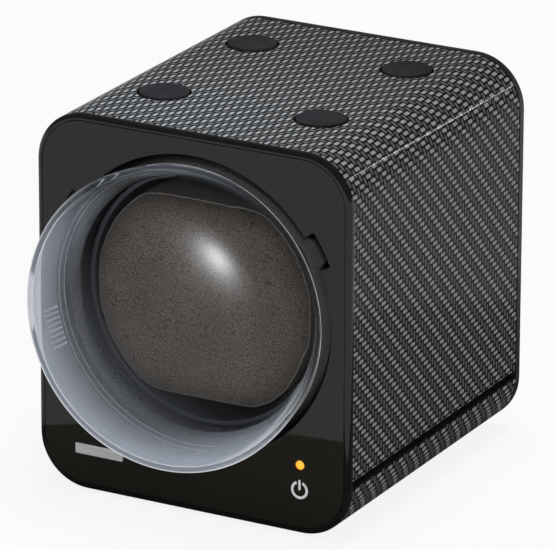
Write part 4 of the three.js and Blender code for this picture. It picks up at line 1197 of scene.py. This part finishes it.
# %% Stacking plugs
plug = post(PLUG_R - 0.3 * MM, plug_low.z, plug_high.z, plug_places[0].x, plug_places[0].y, 96)
round_edges(plug, lambda e: abs(middle(e).z - plug_high.z) < NEAR and is_sharp(e), 0.5 * MM, 5)
edit(plug)
pick(plug, "faces", lambda f: f.normal.z > 0.99)
bpy.ops.mesh.inset(thickness=0.7 * MM)
bpy.ops.transform.translate(value=(0, 0, -0.12 * MM))
done()
pry_y = plug_places[0].y + PLUG_R
cut(plug, block(
    (plug_places[0].x - 2 * MM, pry_y - PAST, CASE_Z1 - PAST),
    (plug_places[0].x + 2 * MM, pry_y + PAST, plug_high.z + PAST),
))
smooth(plug, 35)
settle(plug, "plug_pattern")
for i, at in enumerate(plug_places):
    twin = copy_of(plug, Matrix.Translation(at - plug_places[0]))
    fit_piece(paint(twin, dark_rubber), f"rubber_plug_{i + 1}", f"plug_{i + 1}", "rubber", PLUG_NAMES[i])
bpy.data.objects.remove(plug)

# %% Feet
foot = post(FOOT_R, foot_low.z, foot_high.z, foot_places[0].x, foot_places[0].y, 72)
round_edges(foot, lambda e: abs(middle(e).z - foot_low.z) < NEAR and is_sharp(e), 0.5 * MM, 3)
edit(foot)
for inset, lift in ((2.0 * MM, 0), (0.3 * MM, 0.2 * MM)):
    pick(foot, "faces", lambda f: f.normal.z < -0.99)
    bpy.ops.mesh.inset(thickness=inset)
    bpy.ops.transform.translate(value=(0, 0, lift))
done()
smooth(foot, 35)
settle(foot, "foot_pattern")
for i, at in enumerate(foot_places):
    twin = copy_of(foot, Matrix.Translation(at - foot_places[0]))
    fit_piece(paint(twin, dark_rubber), f"foot_pad_{i + 1}", "root", "rubber", f"rubber_foot_{i + 1}")
bpy.data.objects.remove(foot)


# %% Screws
SHANK_R = 1.5 * MM
SCREWS = (  # node, name, how many, height of the head, turn, axis, end of the box the head is at
    ("rear_screw", "cover_screw", 4, 1.2 * MM, Matrix.Rotation(math.pi, 4, "Z"), 1, 1),
    ("base_screw", "tray_screw", 4, 1.2 * MM, Matrix.Rotation(math.pi / 2, 4, "X"), 2, 0),
    ("motor_screw", "gearmotor_screw", 2, 1.5 * MM, Matrix.Identity(4), 1, 0),
)


def cross_screw(name, head, length):
    """A pan-head screw along +Y with its head's face at y = 0 and a cross recess."""
    crown = crown_line(HEAD_R, 0.45 * head, 15)
    shank = [(HEAD_R, head), (SHANK_R, head), (SHANK_R, length - SHANK_R), (0, length)]
    body = turned(crown + shank, 40, 0, 0, closed=False)
    reach, half = 0.6 * HEAD_R, 0.35 * MM
    for x, z in ((reach, half), (half, reach)):
        cut(body, block((-x, -PAST, -z), (x, 0.5 * head, z)))
    smooth(body, 35)
    return settle(body, name)


for node, name, count, head, turn, axis, end in SCREWS:
    low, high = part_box(f"{node}_1")
    pattern = cross_screw(f"{node}_pattern", head, high[axis] - low[axis])
    for i in range(1, count + 1):
        at = middle_of(f"{node}_{i}")
        at[axis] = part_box(f"{node}_{i}")[end][axis]
        screw = copy_of(pattern, Matrix.Translation(at) @ turn)
        fit_piece(paint(screw, steel), f"{name}_{i}", "root", "steel", f"{node}_{i}")
    bpy.data.objects.remove(pattern)

# %% [markdown]
# ## Rear cover
# The cover closes the back. It has six rounded vents, the round socket for the supply, the slots
# of two slide switches, and a counterbored hole in each corner. All the holes are cut at once.

# %% Cover
cover = rounded_case(0, case_low.y, case_high.y)
front_y, back_y = case_low.y - PAST, case_high.y + PAST
VENT_COUNT, VENT_WIDTH, VENT_SLOT, VENT_PITCH = 6, 36 * MM, 2 * MM, 5 * MM
VENT_TOP = CASE_Z1 - 22 * MM
KNOB_TRAVEL = 2.3 * MM
HEAD_SEAT = BACK - 1.5 * MM
jack_centre = middle_of("dc_jack")
JACK_R = half_width("dc_jack")
for i in range(VENT_COUNT):
    z = VENT_TOP - i * VENT_PITCH
    vent = block((-VENT_WIDTH / 2, front_y, z - VENT_SLOT / 2), (VENT_WIDTH / 2, back_y, z + VENT_SLOT / 2))
    round_edges(vent, lengthwise, 0.98 * MM, 6)
    cut(cover, vent)
cut(cover, rod(JACK_R + GAP, front_y, back_y, jack_centre.x, jack_centre.z, 64))
for knob in ("direction_knob", "program_knob"):
    low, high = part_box(knob)
    left, right = low.x - KNOB_TRAVEL, high.x + KNOB_TRAVEL
    cut(cover, block((left, front_y, low.z - GAP), (right, back_y, high.z + GAP)))
for i in range(1, 5):
    at = middle_of(f"rear_screw_{i}")
    cut(cover, turned([
        (0, front_y), (BORE_R, front_y), (BORE_R, HEAD_SEAT),
        (HEAD_R + GAP, HEAD_SEAT), (HEAD_R + GAP, back_y), (0, back_y),
    ], 40, at.x, at.z, closed=False))
soften(cover, 0.3 * MM, 3, 50)
fit_piece(paint(cover, matte_black), "back_cover", "root", "black_plastic", "rear_cover")

# %% Socket and knobs
jack_low, jack_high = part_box("dc_jack")
JACK_FLOOR_Y = jack_low.y + 2 * MM
HOLE_R, PIN_R, PIN_END = 2.9 * MM, 1 * MM, BACK - 1.5 * MM
socket = turned([
    (0, jack_low.y), (JACK_R, jack_low.y), (JACK_R, jack_high.y), (HOLE_R, jack_high.y),
    (HOLE_R, JACK_FLOOR_Y), (PIN_R, JACK_FLOOR_Y), (PIN_R, PIN_END - 0.4 * MM),
    (PIN_R - 0.4 * MM, PIN_END), (0, PIN_END),
], 72, jack_centre.x, jack_centre.z, closed=False)
soften(socket, 0.15 * MM, 2, 50)
paint(socket, ring_black, steel)
for face in socket.data.polygons:
    out = math.hypot(face.center.x - jack_centre.x, face.center.z - jack_centre.z)
    face.material_index = 1 if out < 1.2 * MM and face.center.y > JACK_FLOOR_Y - 0.1 * MM else 0
fit_piece(socket, "supply_socket", "root", "black_plastic", "dc_jack")

for name in ("direction", "program"):
    low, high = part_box(f"{name}_knob")
    knob = block(low, high)
    for i in (-1, 0, 1):
        x = (low.x + high.x) / 2 + i * 0.95 * MM
        cut(knob, block(
            (x - 0.22 * MM, high.y - 0.35 * MM, low.z - PAST), (x + 0.22 * MM, high.y + PAST, high.z + PAST)
        ))
    soften(knob, 0.12 * MM, 2, 50)
    fit_piece(paint(knob, matte_black), f"{name}_switch_knob", f"{name}_slider", "black_plastic", f"{name}_knob")

# %% [markdown]
# ## The parts inside
# What the case hides keeps the frame's own shapes, and each part takes the finish of its stuff.

# %% Finishes of the inner parts
INNER = {
    "chassis": matte_black, "bearing_bracket": matte_black, "cushion_back_plate": matte_black,
    "front_bush": brass, "rear_bush": brass, "motor_pinion": brass, "drum_gear": nylon,
    "drum_shaft": steel, "retaining_clip": steel, "motor_shaft": steel, "gear_motor": steel,
    "direction_switch": steel, "program_switch": steel, "capacitor": silver,
    "control_board": board_green, "touch_board": board_green, "control_chip": chip_black,
}
for name, material in INNER.items():
    node = frame["nodes"][name]
    for slot in node.material_slots:
        slot.material = material
print("inner parts finished:", len(INNER), "of", len(frame["nodes"]))

# %% [markdown]
# ## Studio
# The box stands on a plain pale floor under soft light. Gloss shows what is around it, so a dark
# round sheet on the floor, painted shade for the floor round the box, a dark wall and a narrow
# strip light stand where only reflections see them, and one round light that only the dome
# catches puts the soft highlight on it.


# %% Floor and cards
def gloss_card(card, name, material):
    """Reflections see the card; the camera, soft light and shadows don't."""
    card.name = name
    paint(card, material)
    for sight in ("camera", "diffuse", "shadow", "transmission", "volume_scatter"):
        setattr(card, f"visible_{sight}", False)


def plain(name, colour, strength=0.0):
    """A stage material: dull paint, or a glow when it has a strength."""
    material, recipe, shader, place = finish(name, {"Roughness": 0.9, "Specular IOR Level": 0.0})
    cloud = recipe.noise(place, 2.0, 2.0)
    light = tuple(min(1.0, c * 1.02) for c in colour)
    dress(recipe, shader, recipe.mix(cloud, (*colour, 1), (*light, 1)))
    if strength:
        shader.inputs["Emission Color"].default_value = (*colour, 1)
        shader.inputs["Emission Strength"].default_value = strength
    return material


bpy.ops.mesh.primitive_plane_add(size=30, location=(0, 0, 0))
floor = bpy.context.object
floor.name = "studio_floor"
floor_paint = plain("floor_paint", (0.86, 0.86, 0.86))
recipe = Recipe(floor_paint.node_tree, clear=False)
paint_shader = next(node for node in recipe.tree.nodes if node.type == "BSDF_PRINCIPLED")
rays = recipe.add("LightPath").outputs
seen = rays["Is Camera Ray"]
strength = recipe.sum("MULTIPLY_ADD", seen, 0.17, 0.85)
glow = recipe.add("Emission", {"Color": (1, 1, 1, 1), "Strength": strength})
even = recipe.sum("MAXIMUM", recipe.sum("MULTIPLY", seen, 0.85), rays["Is Glossy Ray"])
recipe.show(recipe.blend(even, paint_shader.outputs[0], glow.outputs[0]))
paint(floor, floor_paint)

# Painted shadow: a dark sheet round the box, seen only in reflections, stands in for the floor's shade there.
DISC_R, DISC_PLACE = 163 * MM, (20 * MM, 28 * MM, 0.02 * MM)
bpy.ops.mesh.primitive_circle_add(vertices=128, radius=DISC_R, fill_type="NGON", location=DISC_PLACE)
gloss_card(bpy.context.object, "dark_sheet", plain("dark_sheet_paint", (0.17, 0.165, 0.155)))

# The dark wall faces the box from behind on the right.
WALL_AZIMUTH, WALL_ELEVATION = math.radians(24), math.radians(15)
WALL_DISTANCE, WALL_HALF_WIDE, WALL_HALF_HIGH = 3.0, math.radians(17), math.radians(15)
level = math.cos(WALL_ELEVATION)
way = Vector((
    math.sin(WALL_AZIMUTH) * level, math.cos(WALL_AZIMUTH) * level, math.sin(WALL_ELEVATION)
))
bpy.ops.mesh.primitive_plane_add(size=1, location=way * WALL_DISTANCE + Vector((0, 0, MID_Z)))
wall = bpy.context.object
wall.rotation_euler = (-way).to_track_quat("Z", "Y").to_euler()
reach = 2 * WALL_DISTANCE
wall.scale = (reach * math.tan(WALL_HALF_WIDE), reach * math.tan(WALL_HALF_HIGH), 1)
gloss_card(wall, "dark_wall_right", plain("wall_paint", (0.10, 0.10, 0.105)))


# %% Lights
def softbox(name, place, aim, size, power, colour=(1, 1, 1)):
    data = bpy.data.lights.new(name, "AREA")
    data.shape = "DISK"
    data.size = size
    data.energy = power
    data.color = colour
    light = bpy.data.objects.new(name, data)
    light.location = place
    light.rotation_euler = (Vector(aim) - Vector(place)).to_track_quat("-Z", "Y").to_euler()
    bpy.context.collection.objects.link(light)
    light.visible_camera = False
    return light


top_light = softbox("top_softbox", (0.1, 0.2, 2.2), (0, 0, 0), 1.2, 26)
fill_light = softbox("front_softbox", (1.4, -1.8, 0.9), (0, 0, 0.06), 0.9, 19)
EDGE_X, EDGE_Y = -12 * MM, FRONT + 12 * MM
edge_light = softbox(
    "front_edge_glow", (EDGE_X, EDGE_Y, CASE_Z1 + 75 * MM), (EDGE_X, EDGE_Y, 0), 0.05, 0.06,
    (0.80, 0.90, 1.0),
)
for light in (top_light, fill_light, edge_light):
    light.visible_glossy = False
    light.visible_transmission = False

world = bpy.data.worlds.new("studio_air")
bpy.context.scene.world = world
world.use_nodes = True
recipe = Recipe(world.node_tree)
air = recipe.add("Background", {"Color": (0.93, 0.96, 1.0, 1), "Strength": 0.2})
recipe.tree.links.new(air.outputs[0], recipe.add("OutputWorld").inputs[0])

# %% Mirrored lights
# A highlight is put where the view needs it: a ray goes from the camera to that place, and the
# light stands where the mirrored ray leads.
def through_view(right, up):
    """The camera's eye and its ray through a place of the view, in metres from the middle."""
    eye = camera.matrix_world.translation
    return eye, (camera.matrix_world @ Vector((right, up, -DISTANCE)) - eye).normalized()


def mirrored_edge(right, up):
    """How a ray leaves the case's rounded upper right edge."""
    eye, ray = through_view(right, up)
    axis = Vector((FLAT_X, 0, MID_Z + FLAT_Z))
    start, way = Vector((eye.x - axis.x, eye.z - axis.z)), Vector((ray.x, ray.z))
    half, square = start.dot(way), way.length_squared
    reach = (-half - math.sqrt(half * half - square * (start.length_squared - CORNER * CORNER))) / square
    point = eye + ray * reach
    return point, ray.reflect(Vector((point.x - axis.x, 0, point.z - axis.z)).normalized())


# The strip is a ladder of mirrored places along the thin bright line on the edge.
LINE_FRONT, LINE_BACK, LINE_HALF = (0.0231, 0.0306), (0.0772, 0.0612), 0.00014
STRIP_STEPS, STRIP_DISTANCE = 24, 1.6
bpy.ops.mesh.primitive_grid_add(x_subdivisions=STRIP_STEPS, y_subdivisions=1, size=2, location=(0, 0, 0))
strip = bpy.context.object
line = Vector(LINE_BACK) - Vector(LINE_FRONT)
aside = Vector((-line.y, line.x)).normalized() * LINE_HALF
for vertex in strip.data.vertices:
    spot = Vector(LINE_FRONT) + line * (vertex.co.x + 1) / 2 + aside * vertex.co.y
    point, way = mirrored_edge(spot.x, spot.y)
    vertex.co = point + way * STRIP_DISTANCE
print("strip light:", [tuple(round(c, 2) for c in vertex.co) for vertex in strip.data.vertices][::12])
gloss_card(strip, "strip_light", plain("strip_glow", (1, 1, 1), 62.0))

SPOT, SPOT_DISTANCE = (-0.0194, 0.0053), 1.2
eye, ray = through_view(*SPOT)
point, normal = dome.ray_cast(eye, ray)[1:3]
spot_light = softbox("dome_highlight", point + ray.reflect(normal) * SPOT_DISTANCE, point, 0.16, 40)
spot_light.visible_diffuse = False
spot_light.visible_transmission = False
dome_only = bpy.data.collections.new("lit_by_highlight")
dome_only.objects.link(dome)
spot_light.light_linking.receiver_collection = dome_only
print("highlight from", tuple(round(c, 2) for c in spot_light.location))

# %% [markdown]
# ## Finish
# The picture is shown with the standard view transform.

# %% Finish
bpy.context.scene.view_settings.view_transform = "Standard"
